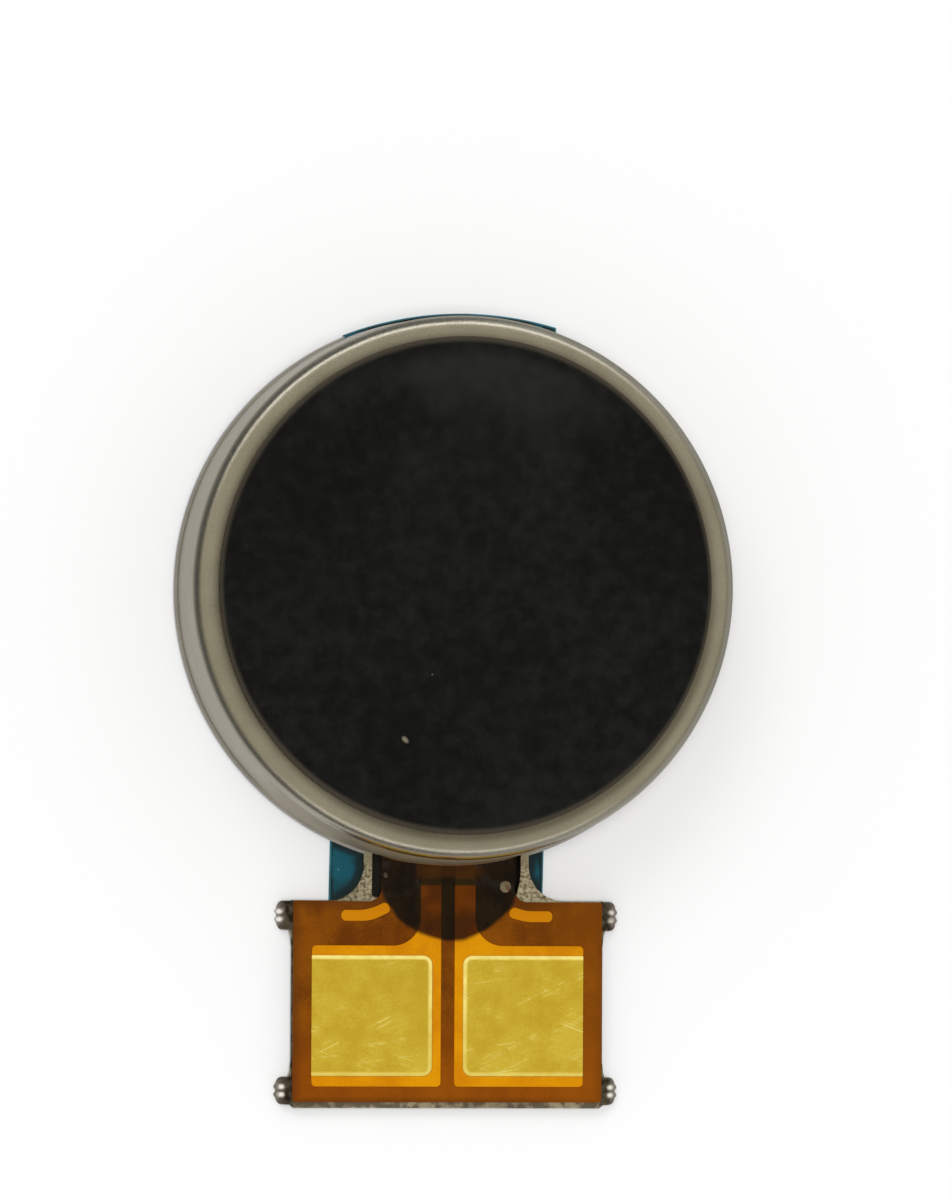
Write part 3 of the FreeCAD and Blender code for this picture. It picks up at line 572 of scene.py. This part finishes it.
def over_window(look):
    """1 where the flexible circuit hangs free over the plate's window, and 0 elsewhere."""
    below = look.least(look.plus(look.axis(1), WINDOW_CENTRE), 0.0)
    reach = look.length(look.minus(look.axis(0), WINDOW_X), below)
    uneven = look.times(look.minus(look.grain(2.2, 2), 0.5), 0.12)
    return look.beyond(look.plus(reach, uneven), WINDOW_RADIUS, -0.09)


def cover_finish(look, base, fine):
    """The cover film's gloss and its slight waviness."""
    relief = look.bump(look.grain(0.8, 2), 0.012)
    relief = look.bump(fine, 0.0010, relief)
    look.set(base_color=base, roughness=look.spread(fine, 0.3, 0.7, 0.30, 0.42), specular_ior_level=0.06)
    return look.set(coat_weight=0.05, coat_roughness=0.14, normal=relief).material


def cover_over_steel():
    """Amber cover film on the plate: brown, darker at its rim, and nearly black over the open window, as
    painted shade.
    """
    look = Look("cover_over_steel")
    across, along = look.axis(0), look.axis(1)
    side = look.positive(across)
    clouds = look.grain(1.2, 4, 0.55)
    streaks = look.grain(1.0, 3, 0.5, look.stretched(5, 0.8, 1))
    fine = look.grain(26, 3, 0.6)
    tone = look.weighted((clouds, 0.6), (streaks, 0.15), (fine, 0.25))
    base = look.mix(look.spread(tone, 0.38, 0.62), colour(100, 49, 1), colour(132, 72, 2))
    far = look.spread(along, -9.0, -7.0, 0.5, 0.0)
    base = look.tint(base, far, (150, 76, 1))
    rim = look.most(look.spread(side, 2.60, 2.81), look.spread(along, -9.12, -9.24))
    rim = look.most(rim, look.spread(along, -5.84, -5.62))
    base = look.tint(base, rim, (84, 42, 8), 0.55)
    # Painted shade on the film's cut side.
    side_wall = look.beyond(look.axis(2), COVER_HIGH.z - COVER_STEP - 0.008, -0.006)
    base = look.tint(base, side_wall, (54, 34, 16), 0.8)
    base = look.tint(base, look.spread(across, 1.2, 2.4, 0.0, 0.28), (152, 84, 2))
    # Over the window, painted shade where the film hangs free, partly the dark seen through it: black at the
    # sides, and a little lighter just outside the can, as painted light
    free = look.mix(look.spread(tone, 0.40, 0.60), colour(24, 14, 4), colour(36, 23, 8))
    by_can = look.times(look.beyond(along, -5.16, 0.16), look.beyond(side, 0.62, -0.24))
    free = look.tint(free, by_can, (66, 35, 8), 0.8)
    # Painted greyish reflections on the free film, nearer the can.
    window_sheen = look.times(look.spread(look.grain(3.5, 3), 0.52, 0.66), look.beyond(along, -5.5, 0.5))
    free = look.tint(free, window_sheen, (50, 48, 44), 0.4)
    # Painted shade in streaks, towards the sides of the window.
    window_side_shade = look.spread(look.grain(2.0, 3, 0.5, look.stretched(2.2, 0.8, 1)), 0.48, 0.60)
    window_side_shade = look.times(window_side_shade, look.beyond(side, 0.55, 0.2))
    free = look.tint(free, window_side_shade, (18, 13, 8), 0.75)
    return cover_finish(look, look.mix(over_window(look), base, free), fine)


def cover_over_copper():
    """Amber cover film on copper: bright orange, and dim brown over the open window, as painted shade."""
    look = Look("cover_over_copper")
    along = look.axis(1)
    clouds = look.grain(1.6, 4, 0.55)
    fine = look.grain(26, 3, 0.6)
    tone = look.weighted((clouds, 0.7), (fine, 0.3))
    base = look.mix(look.spread(tone, 0.36, 0.64), colour(204, 127, 0), colour(220, 147, 0))
    step = look.beyond(look.axis(2), COVER_HIGH.z - 0.004, -0.004)
    base = look.tint(base, step, (140, 62, 0), 0.7)
    stops = look.beyond(along, -5.98, 0.10)
    base = look.tint(base, stops, (203, 127, 2))
    # Over the window, painted light and shade: brightest where the neck leaves the tab's level, with painted
    # shade in a fold nearer the can and a painted lighter band just outside the can
    free = look.mix(look.beyond(along, -5.80, 0.35), colour(72, 34, 1), colour(100, 48, 1))
    free = look.tint(free, look.beyond(along, -5.32, 0.04), (44, 32, 8))
    free = look.tint(free, look.beyond(along, -5.20, 0.06), (68, 39, 8))
    # Blotchy painted shade, stronger on the left.
    blotches = look.spread(look.grain(2.6, 2, 0.5), 0.40, 0.62)
    by_side = look.spread(look.axis(0), -0.1, 0.1, 0.45, 0.25)
    free = look.tint(free, look.times(blotches, by_side), (34, 20, 6))
    return cover_finish(look, look.mix(over_window(look), base, free), fine)


def gold_look():
    """Plated contact: satin, with a painted highlight along the window's edge, fine probe scratch marks that
    carry painted glints, and dull spots.
    """
    look = Look("gold_plating")
    side = look.positive(look.axis(0))
    along = look.axis(1)
    clouds = look.grain(1.6, 5, 0.62)
    fine = look.grain(34, 3, 0.6)
    tone = look.weighted((clouds, 0.6), (fine, 0.4))
    base = look.mix(look.spread(tone, 0.36, 0.64), colour(238, 204, 64), colour(255, 228, 88))
    from_inner = look.minus(side, CONTACT_INNER)
    from_near = look.minus(CONTACT_NEAR, along)
    from_far = look.minus(along, CONTACT_FAR)
    inside = look.corner_distance(from_inner, look.least(from_near, from_far), WINDOW_ROUND)
    # Painted highlight along the window's edge, strongest towards the near end.
    rim = look.times(look.beyond(inside, 0.070, -0.05), look.spread(along, -8.6, -6.7, 0.55, 1.0))
    rim = look.times(rim, look.spread(look.grain(5, 2), 0.35, 0.6, 0.75, 1.0))
    base = look.tint(base, rim, (246, 228, 128))
    # Probe scratch marks, painted bright as glints.
    runs = []
    for angle, lengthwise, across, least in ((9, 0.6, 30, 0.66), (-20, 0.5, 36, 0.68), (27, 0.55, 30, 0.66)):
        streaks = look.grain(1.0, 1, 0.4, look.turned(angle, lengthwise, across))
        runs.append(look.times(look.spread(streaks, least, least + 0.05), look.spread(clouds, 0.45, 0.58)))
    scratches_and_glints = look.most(look.most(runs[0], runs[1]), runs[2])
    base = look.tint(base, scratches_and_glints, (236, 220, 130), 0.55)
    dull = look.spread(look.cells(1.4), 0.0, 0.035, 0.6, 0.0)
    base = look.tint(base, dull, (160, 112, 48))
    relief = look.bump(clouds, 0.004)
    relief = look.bump(fine, 0.0008, relief)
    relief = look.bump(scratches_and_glints, 0.0010, relief)
    # Less metallic under the painted highlight and glints, so that they show bright.
    plain = look.most(rim, look.times(scratches_and_glints, 0.5))
    look.set(base_color=base, metallic=look.minus(1.0, plain))
    look.set(roughness=look.spread(fine, 0.3, 0.7, 0.32, 0.46))
    return look.set(normal=relief).material


def plain_look(name, light, dark, metallic, roughness):
    """A two-tone surface with a fine relief, for the pieces that the can hides."""
    look = Look(name)
    tone = look.grain(8.0, 4, 0.55)
    base = look.mix(look.spread(tone, 0.35, 0.65), dark, light)
    rough = look.spread(tone, 0.3, 0.7, roughness - 0.06, roughness + 0.06)
    look.set(base_color=base, metallic=metallic, roughness=rough, normal=look.bump(tone, 0.002))
    return look.material


CAN_STEEL = can_look()
PLATE_STEEL = plate_look()
FOAM = foam_look()
FILM = film_look()
TAPE = tape_look()
COVER_FIELD = cover_over_steel()
COVER_COPPER = cover_over_copper()
GOLD = gold_look()

# Looks of the hidden pieces: a light and a dark tone, how metallic and how rough they are, and their nodes
HIDDEN_LOOKS = {
    "tape_clear": ((206, 202, 186), (180, 174, 156), 0.0, 0.5, ["pad_adhesive"]),
    "bond_amber": ((150, 104, 40), (120, 80, 28), 0.0, 0.5, ["flex_adhesive", "magnet_adhesive"]),
    "polyimide": ((146, 82, 16), (116, 60, 8), 0.1, 0.32, ["flex_base"]),
    "copper_foil": ((226, 140, 84), (190, 106, 58), 1.0, 0.32, ["copper_left", "copper_right", "tear_stops"]),
    "ground_steel": ((214, 214, 216), (180, 180, 184), 1.0, 0.16, ["shaft"]),
    "slip_plastic": ((232, 228, 214), (210, 204, 188), 0.0, 0.45, ["lower_washer", "upper_washer"]),
    "nickel_plate": ((196, 196, 200), (160, 160, 166), 1.0, 0.24, ["ring_magnet"]),
    "spring_alloy": ((214, 184, 112), (184, 150, 84), 1.0, 0.28, ["brush_left", "brush_right"]),
    "solder": ((206, 206, 208), (168, 168, 172), 1.0, 0.26, ["brush_solder", "coil_solder"]),
    "sintered_bronze": ((176, 136, 84), (134, 98, 56), 1.0, 0.48, ["bearing_sleeve"]),
    "solder_mask": ((28, 96, 56), (18, 70, 40), 0.0, 0.38, ["commutator_board"]),
    "segment_gold": ((226, 196, 98), (200, 168, 74), 1.0, 0.24, ["commutator_segments"]),
    "enamel_wire": ((176, 88, 44), (134, 58, 26), 0.8, 0.32, ["coil_1", "coil_2", "coil_3"]),
    "sintered_tungsten": ((128, 126, 122), (96, 94, 92), 1.0, 0.46, ["tungsten_weight"]),
    "moulded_resin": ((44, 44, 48), (28, 28, 32), 0.0, 0.46, ["rotor_frame"]),
}


def dress_hidden_nodes():
    for name, (light, dark, metallic, roughness, nodes) in HIDDEN_LOOKS.items():
        material = plain_look(name, colour(*light), colour(*dark), metallic, roughness)
        for node in nodes:
            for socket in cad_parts[node].material_slots:
                socket.material = material


# ---- Can and foam pad ----


def make_can():
    open_radius, top = CAN_HIGH.x, CAN_HIGH.z
    closed_radius, wall, corner, inner_corner, lip = 4.84, 0.16, 0.33, 0.17, 0.03
    turned_out, turn_height, fade = 0.03, 0.12, 0.25  # the small lip along the top of the slot
    slot_back = -4.3

    def skin(height):
        """The outer skin's radius at a height."""
        return open_radius + (closed_radius - open_radius) * (height - PLATE_TOP) / (top - PLATE_TOP)

    rings = [SLOT_TOP + rise for rise in (-0.02, 0.015, 0.04, 0.065, 0.09, turn_height)]
    profile = rounded(
        [
            (0.0, top),
            (0.0, top - wall),
            (closed_radius - wall, top - wall, inner_corner),
            (open_radius - wall, PLATE_TOP, lip),
            (open_radius, PLATE_TOP, lip),
            *[(skin(height), height) for height in rings],
            (closed_radius, top, corner),
        ]
    )
    can = lathe("can_shell", profile)
    for vertex in can.data.vertices:
        x, y, height = vertex.co
        outside = vertex.co.xy.length > skin(height) - wall / 2
        on_skin = rings[0] - ROUNDING < height < rings[-1] and outside
        if on_skin and y < 0 and abs(x) < SLOT_HALF:
            down = min(1.0, (rings[-1] - height) / turn_height)
            fading = min(1.0, (SLOT_HALF - abs(x)) / fade)
            vertex.co.xy *= 1 + turned_out * down * down * fading / skin(height)
    slot = block("slot", (-SLOT_HALF, -open_radius - 1, PLATE_TOP - 1), (SLOT_HALF, slot_back, SLOT_TOP))
    join_shapes(can, [slot], "DIFFERENCE")
    finish_piece(can, "can", "stator", CAN_STEEL)


def make_foam_pad():
    """The pad's skin is slightly uneven, and its cut edge is soft."""
    low, top, radius = FOAM_LOW.z, FOAM_HIGH.z, PAD_RADIUS
    edge, swell, steps, rings = 0.07, 0.006, 240, 60
    profile = [(0.0, low), (radius - 0.02, low)]
    profile += arc((radius - edge, top - edge), edge, -20, 90, math.radians(11))
    profile += [(radius * i / rings, top) for i in range(rings - 2, -1, -1)]
    pad = lathe("foam_disc", profile, steps)
    for vertex in pad.data.vertices:
        if vertex.co.z > top - ROUNDING and vertex.co.xy.length < radius - 2 * edge:
            wave = noise.noise(Vector((vertex.co.x * 0.9, vertex.co.y * 0.9, 3.0)))
            vertex.co.z += swell * (wave - 1.0) / 2
    long_cut = Matrix.Diagonal((1.0, 1.008, 1.0, 1.0))
    pad.data.transform(Matrix.Translation((PAD_CENTRE.x, PAD_CENTRE.y, 0)) @ long_cut)
    pad = finish_piece(pad, "foam_pad", "stator", FOAM, 60)


# ---- Base plate ----


def make_ear(side, start, end):
    """A corner of the tab that turns down through a quarter bend, coined into two ridges."""
    bend_radius = PLATE_THICKNESS + 0.05
    bend_z = PLATE_TOP - bend_radius
    middle, width = (start + end) / 2, end - start
    across, around = 44, 20
    root, sunk = 0.12, 0.004
    ridge_place, valley_depth = 0.072, 0.034
    rows = [start + width * j / across for j in range(across + 1)]

    def outer_radius(y, v):
        """The outer skin's distance from the bend's axis, v from 0 to 1 down the bend."""
        from_edge = min(y - start, end - y)
        soft = 0.05 + 0.10 * v
        fall = max(0.0, 1 - from_edge / soft)
        round_off = (0.03 + 0.09 * v) * (1 - math.sqrt(max(0.0, 1 - fall * fall)))
        off_middle = abs(y - middle)
        ridges = 0.5 + 0.5 * math.cos((off_middle - ridge_place) / ridge_place * math.pi)
        valley = valley_depth * (1 - ridges if off_middle < 2 * ridge_place else 1.0) * min(1.0, v * 2.2)
        return bend_radius - sunk - round_off - valley

    points = []
    for v in (i / around for i in range(around + 1)):
        angle = math.pi / 2 * v
        for y in rows:
            radius = outer_radius(y, v)
            points.append((EAR_BEND_X + radius * math.sin(angle), y, bend_z + radius * math.cos(angle)))
    inner = bend_radius - PLATE_THICKNESS + sunk
    for i in range(around + 1):
        angle = math.pi / 2 * i / around
        for y in rows:
            points.append((EAR_BEND_X + inner * math.sin(angle), y, bend_z + inner * math.cos(angle)))
    # Straight root, inside the tab's sheet
    back = EAR_BEND_X - root
    row = across + 1
    sheet = row * (around + 1)
    for skin in (0, sheet):
        points += [(back, y, points[skin + j][2]) for j, y in enumerate(rows)]
    outer_back, inner_back = 2 * sheet, 2 * sheet + row

    faces = []
    for i in range(around):
        for j in range(across):
            a = i * row + j
            faces.append((a, a + 1, a + row + 1, a + row))
            b = sheet + a
            faces.append((b, b + row, b + row + 1, b + 1))
        for j in (0, across):
            a, b = i * row + j, sheet + i * row + j
            faces.append((a, a + row, b + row, b))
    for j in range(across):
        a, b = around * row + j, sheet + around * row + j
        faces.append((a, a + 1, b + 1, b))
        faces.append((outer_back + j, outer_back + j + 1, j + 1, j))
        faces.append((inner_back + j, inner_back + j + 1, sheet + j + 1, sheet + j))
        faces.append((outer_back + j, outer_back + j + 1, inner_back + j + 1, inner_back + j))
    for j in (0, across):
        faces.append((outer_back + j, j, sheet + j, inner_back + j))
    if side < 0:
        points = [(-x, y, z) for x, y, z in points]
    return from_faces("ear", points, faces)


def plate_side(leg):
    """The right half of the plate's outline from the leg to the tab's far edge, and its corner radii."""
    near, far, tab, sliver = TAB_NEAR, TAB_FAR, 2.83, 2.885
    return [
        (leg, near, LEG_FLARE),
        (tab, near, 0.02),
        (sliver, near - 0.03, 0.02),
        (sliver, EAR_NEAR[0] + 0.02, 0.02),
        (tab + 0.02, EAR_NEAR[0] - 0.10, 0.1),
        (tab, EAR_NEAR[0] - 0.30, 0.2),
        (tab, EAR_FAR[1] + 0.30, 0.2),
        (tab + 0.02, EAR_FAR[1] + 0.10, 0.1),
        (sliver, EAR_FAR[1] - 0.02, 0.02),
        (sliver, far + 0.09, 0.02),
        (tab - 0.05, far, 0.05),
    ]


def plate_window():
    """The opening under the neck: round towards the tab, with a ledge on the left."""
    centre, inside = (WINDOW_X, -WINDOW_CENTRE), -4.60
    ledge_angle = 180 + math.degrees(math.asin((WINDOW_LEDGE - WINDOW_CENTRE) / WINDOW_RADIUS))
    round_end = arc(centre, WINDOW_RADIUS, 0, ledge_angle - 360, math.radians(3))
    ledge = rounded([round_end[-1], (-WINDOW_LEFT, -WINDOW_LEDGE, 0.06), (-WINDOW_LEFT, inside)])
    return [(WINDOW_X + WINDOW_RADIUS, inside), *round_end[:-1], *ledge]


def make_base_plate():
    radius, rim_cut, cut_half = 5.0, 4.96, 1.93
    low, top = TAPE_HIGH.z, PLATE_TOP
    step = 2 * math.pi / TURN_STEPS
    right_angle = math.degrees(math.acos(LEG_RIGHT / radius))
    left_angle = math.degrees(math.acos(LEG_LEFT / radius))
    notch_outer = math.degrees(math.acos(cut_half / radius))
    notch_inner = math.degrees(math.acos(cut_half / rim_cut))
    corners = [*arc((0, 0), radius, -right_angle, notch_outer, step)]
    corners += arc((0, 0), rim_cut, notch_inner, 180 - notch_inner, step)
    corners += arc((0, 0), radius, 180 - notch_outer, 180 + left_angle, step)
    corners += [(-x, y, *radii) for x, y, *radii in plate_side(LEG_LEFT)]
    corners += list(reversed(plate_side(LEG_RIGHT)))
    sheet = plate("base_sheet", rounded(corners), low, top, 0.022, [plate_window()])
    ears = [make_ear(side, *span) for side in (-1, 1) for span in (EAR_NEAR, EAR_FAR)]
    join_shapes(sheet, ears)
    finish_piece(sheet, "base_plate", "stator", PLATE_STEEL, 40, sheet=True)


# ---- Film and tape ----


def make_strip(name, node, low, high, inset, edge, look):
    """A strip with one round end, laid askew under the plate."""
    half, radius, near = 1.95 - inset, 6.06 - inset, -6.60 + inset
    shift, skew = -0.085, math.radians(-1.1)
    centre = (0.38, -0.99)
    first = math.degrees(math.acos((half - centre[0]) / radius))
    last = math.degrees(math.acos((-half - centre[0]) / radius))
    outline = arc(centre, radius, first, last, math.radians(1.5))
    outline += rounded([(-half, near, 0.05), (half, near, 0.05), (half, 0.0), (-half, 0.0)])[:-2]
    strip = plate(name, outline, low, high, edge)
    strip.data.transform(Matrix.Translation((shift, 0, 0)) @ Matrix.Rotation(skew, 4, "Z"))
    finish_piece(strip, node, "stator", look, sheet=True)


# ---- Flexible circuit ----


def flex_outline():
    neck, near, far, tab, disc = 1.21, -5.62, -9.24, 2.81, 4.15
    start = math.degrees(math.acos(neck / disc))
    corners = arc((0, 0), disc, -start, 180 + start, math.radians(4))
    corners += [(-neck, near, 0.24), (-tab, near + 0.02, 0.05), (-tab, far, 0.07)]
    corners += [(tab, far, 0.07), (tab, near, 0.05), (neck, near, 0.24)]
    return rounded(corners)


def contact_window():
    return rounded(
        [
            (CONTACT_INNER, CONTACT_FAR, WINDOW_ROUND),
            (OUTER, CONTACT_FAR, 0.02),
            (OUTER, CONTACT_NEAR, 0.02),
            (CONTACT_INNER, CONTACT_NEAR, WINDOW_ROUND),
        ]
    )


def make_cover_field():
    window = contact_window()
    brush_opening = arc((0, 0), 1.86, 0, 355, math.radians(5))
    holes = [list(reversed(hole)) for hole in (window, mirrored(window), brush_opening)]
    top = COVER_HIGH.z - COVER_STEP
    field = plate("cover_film", flex_outline(), COVER_LOW.z, top, 0.006, holes)
    finish_piece(field, "flex_coverlay", "stator", COVER_FIELD, sheet=True)


def make_cover_relief(side):
    """The cover film where it lies over a copper area and its trace: raised, and bright."""
    outline = rounded(
        [
            (INNER, COPPER_FAR, 0.08),
            (OUTER, COPPER_FAR, 0.08),
            (OUTER, CONTACT_FAR),
            (CONTACT_INNER, CONTACT_FAR, WINDOW_ROUND),
            (CONTACT_INNER, CONTACT_NEAR, WINDOW_ROUND),
            (OUTER, CONTACT_NEAR),
            (OUTER, COPPER_NEAR, 0.08),
            (TRACE_OUTER, COPPER_NEAR, 0.50),
            (TRACE_OUTER, UNDER_CAN, 0.05),
            (INNER, UNDER_CAN, 0.05),
        ]
    )
    if side < 0:
        outline = mirrored(outline)
    name = "cover_over_copper_" + ("right" if side > 0 else "left")
    relief = plate(name, outline, COPPER_HIGH.z, COVER_HIGH.z, 0.012)
    finish_piece(relief, None, "stator", COVER_COPPER, sheet=True)


def bar_outline(inner, rise, turn_x, outer, y, width):
    """A bar with round ends that runs level from outer to turn_x and then rises to inner."""
    route = [Vector((outer, y)), Vector((turn_x, y)), Vector((inner, y + rise))]
    slope = (route[2] - route[1]).normalized()
    level = (route[1] - route[0]).normalized()
    half = width / 2

    def side(direction, sign):
        return Vector((-direction.y, direction.x)) * half * sign

    bend = (side(level, 1) + side(slope, 1)).normalized() * half
    corners = [
        (*(route[0] + side(level, 1)), half * 0.9),
        (*(route[0] + side(level, -1)), half * 0.9),
        (*(route[1] - bend), 0.7),
        (*(route[2] + side(slope, -1)), half * 0.9),
        (*(route[2] + side(slope, 1)), half * 0.9),
        (*(route[1] + bend), 0.9),
    ]
    return rounded(corners)


def make_cover_bars():
    width, edge = 0.20, 0.010
    left = bar_outline(-1.07, 0.17, -1.42, -1.94, -5.87, width)
    right = bar_outline(1.12, 0.09, 1.42, 1.90, -5.88, width)
    bars = plate("cover_over_bars", left, COPPER_HIGH.z, COVER_HIGH.z, edge)
    join_shapes(bars, [plate("cover_over_bar_right", right, COPPER_HIGH.z, COVER_HIGH.z, edge)])
    finish_piece(bars, None, "stator", COVER_COPPER, sheet=True)


def make_gold_contact(side):
    """A flat plated contact that fills the cover film's window."""
    hand = "right" if side > 0 else "left"
    window = contact_window() if side > 0 else mirrored(contact_window())
    pad = plate("gold_pad_" + hand, window, GOLD_LOW.z, GOLD_HIGH.z, 0.004)
    finish_piece(pad, "gold_contact_" + hand, "stator", GOLD, sheet=True)


def make_neck_glue():
    """Two set drops of glue on the neck, slightly uneven."""
    top, sunk = COVER_HIGH.z - COVER_STEP, -0.01
    look = Look("glue_clear")
    tone = look.spread(look.grain(9, 3), 0.38, 0.62)
    base = look.mix(tone, colour(92, 60, 34), colour(122, 108, 82))
    base = look.tint(base, look.beyond(look.axis(0), 0.0, -0.2), (62, 56, 48))
    look.set(base_color=base, roughness=0.3, coat_weight=0.1)
    drops = []
    for x, y, radius, rise, narrow in ((1.04, -5.34, 0.12, 0.055, 0.94), (-1.14, -5.14, 0.06, 0.03, 0.80)):
        curve = [(radius * math.cos(a), rise * math.sin(a)) for a in (math.pi / 24 * i for i in range(13))]
        drop = lathe("drop", [(0.0, sunk), (radius, sunk), *curve[:-1], (0.0, rise)], 48)
        for vertex in drop.data.vertices:
            pull = 0.90 + 0.10 * noise.noise(vertex.co * 14 + Vector((x, y, 0)))
            vertex.co.x *= narrow * pull
            vertex.co.y *= pull
        drop.data.transform(Matrix.Translation((x, y, top)))
        drops.append(drop)
    drops[0].name = "glue_drops"
    join_shapes(drops[0], drops[1:])
    finish_piece(drops[0], "neck_glue", "stator", look.material, 60)


# ---- Stage, light and camera ----


def make_floor():
    """A pale card. What the object mirrors of it fades to dark away from the object, as in a dim room."""
    size = 0.6
    mesh = bpy.data.meshes.new("floor")
    corners = [(-size, -size, 0), (size, -size, 0), (size, size, 0), (-size, size, 0)]
    mesh.from_pydata(corners, [], [(0, 1, 2, 3)])
    floor = link("floor", mesh)
    look = Look("floor_pale")
    pale = look.mix(look.grain(0.02, 2), (0.93, 0.93, 0.93), (0.95, 0.95, 0.95))
    along = look.times(look.plus(look.axis(1), 2.0), 0.72)
    away = look.length(look.axis(0), along)
    near = look.spread(away, 5.2, 9.5, 1.0, 0.25)
    level = look.times(near, look.spread(away, 9.0, 18.0, 1.0, 0.4))
    level = look.most(level, look.spread(look.axis(0), 0.0, 6.0, 0.0, 0.6))
    shaded = look.mix(level, (0.0, 0.0, 0.0), pale)
    rays = look.tree.nodes.new("ShaderNodeLightPath")
    look.set(base_color=look.mix(rays.outputs["Is Glossy Ray"], pale, shaded), roughness=0.8)
    look.set(specular_ior_level=0.1)
    mesh.materials.append(look.material)


def add_node(tree, kind, inputs=(), **settings):
    """A node with its settings and its inputs, given by place in the node, as values or as links."""
    node = tree.nodes.new(kind)
    for name, value in settings.items():
        setattr(node, name, value)
    for place, value in enumerate(inputs):
        if isinstance(value, bpy.types.NodeSocket):
            tree.links.new(value, node.inputs[place])
        elif value is not None:
            node.inputs[place].default_value = value
    return node.outputs[0]


def make_world():
    """A soft studio. Reflections show a warm ceiling, low bright bands behind and in front, and a dark left."""
    world = bpy.data.worlds.new("studio")
    bpy.context.scene.world = world
    world.use_nodes = True
    world.cycles.sampling_method = "NONE"
    tree = world.node_tree
    direction = tree.nodes.new("ShaderNodeTexCoord").outputs["Generated"]
    parts = tree.nodes.new("ShaderNodeSeparateXYZ")
    tree.links.new(direction, parts.inputs[0])
    across, along, up = parts.outputs

    def smooth(value, low, high, first, last):
        kind = "ShaderNodeMapRange"
        return add_node(tree, kind, (value, low, high, first, last), interpolation_type="SMOOTHSTEP")

    def maths(operation, first, second):
        return add_node(tree, "ShaderNodeMath", (first, second), operation=operation)

    wall = smooth(across, -0.30, 0.60, 0.12, 0.44)
    ceiling = maths("MAXIMUM", smooth(up, 0.08, 0.42, 0.10, 0.62), wall)
    band = maths("MULTIPLY", smooth(up, 0.12, 0.26, 0.0, 1.0), smooth(up, 0.32, 0.48, 1.0, 0.0))
    behind_left = maths("SUBTRACT", maths("MULTIPLY", along, 0.99), maths("MULTIPLY", across, 0.12))
    behind = smooth(behind_left, 0.35, 0.95, 0.0, 2.4)
    before = smooth(along, -0.60, -0.98, 0.0, 1.3)
    front_left = maths("ADD", maths("MULTIPLY", along, -0.7), maths("MULTIPLY", across, -0.7))
    ceiling = maths("MAXIMUM", ceiling, smooth(front_left, 0.30, 0.95, 0.10, 0.34))
    glow = maths("MULTIPLY", band, maths("ADD", behind, before))
    warm = add_node(tree, "ShaderNodeVectorMath", ((1.0, 0.94, 0.76), None, None, ceiling), operation="SCALE")
    lit = add_node(tree, "ShaderNodeVectorMath", (warm, glow), operation="ADD")
    rays = tree.nodes.new("ShaderNodeLightPath")
    mix = tree.nodes.new("ShaderNodeMix")
    mix.data_type = "RGBA"
    tree.links.new(rays.outputs["Is Glossy Ray"], mix.inputs["Factor"])
    mix.inputs[6].default_value = (0.50, 0.50, 0.50, 1)
    tree.links.new(lit, mix.inputs[7])
    tree.links.new(mix.outputs[2], tree.nodes["Background"].inputs["Color"])


def add_lamp(name, place, size, power):
    """A round lamp that lights the object but isn't mirrored in it."""
    data = bpy.data.lights.new(name, "AREA")
    data.shape = "DISK"
    data.size = size
    data.energy = power
    lamp = bpy.data.objects.new(name, data)
    lamp.location = place
    lamp.rotation_euler = (-Vector(place)).to_track_quat("-Z", "Y").to_euler()
    lamp.visible_glossy = False
    bpy.context.scene.collection.objects.link(lamp)


def make_camera():
    """Almost straight down, from a little to the left and slightly from the tab's side."""
    lean_x, lean_y, roll = math.radians(-6.6), math.radians(-1.9), math.radians(0.3)
    distance = 0.145
    target = Vector((0.000487, -0.00015, PLATE_TOP * MM))
    back = Vector((math.sin(lean_x), math.sin(lean_y), 1.0)).normalized()
    data = bpy.data.cameras.new("camera")
    data.lens = 240
    data.clip_start, data.clip_end = 0.005, 5
    camera = bpy.data.objects.new("camera", data)
    upright = Matrix.Rotation(roll, 3, "Z") @ Vector((0, 1, 0))
    right = upright.cross(back).normalized()
    up = back.cross(right)
    camera.matrix_world = Matrix.Translation(target + back * distance) @ Matrix(
        (right, up, back)
    ).transposed().to_4x4()
    bpy.context.scene.collection.objects.link(camera)
    bpy.context.scene.camera = camera


bpy.context.scene.view_settings.view_transform = "Standard"
make_floor()
make_world()
add_lamp("key", (-0.10, 0.16, 0.30), 0.18, 0.16)
add_lamp("top", (-0.02, -0.01, 0.36), 0.10, 0.62)
make_camera()

dress_hidden_nodes()
make_can()
make_foam_pad()
make_base_plate()
make_strip("tape_strip", "mounting_adhesive", TAPE_LOW.z, TAPE_HIGH.z, 0.03, 0.006, TAPE)
make_strip("film_strip", "release_film", FILM_LOW.z, FILM_HIGH.z, 0.0, 0.008, FILM)
make_cover_field()
for side in (-1, 1):
    make_cover_relief(side)
    make_gold_contact(side)
make_cover_bars()
make_neck_glue()
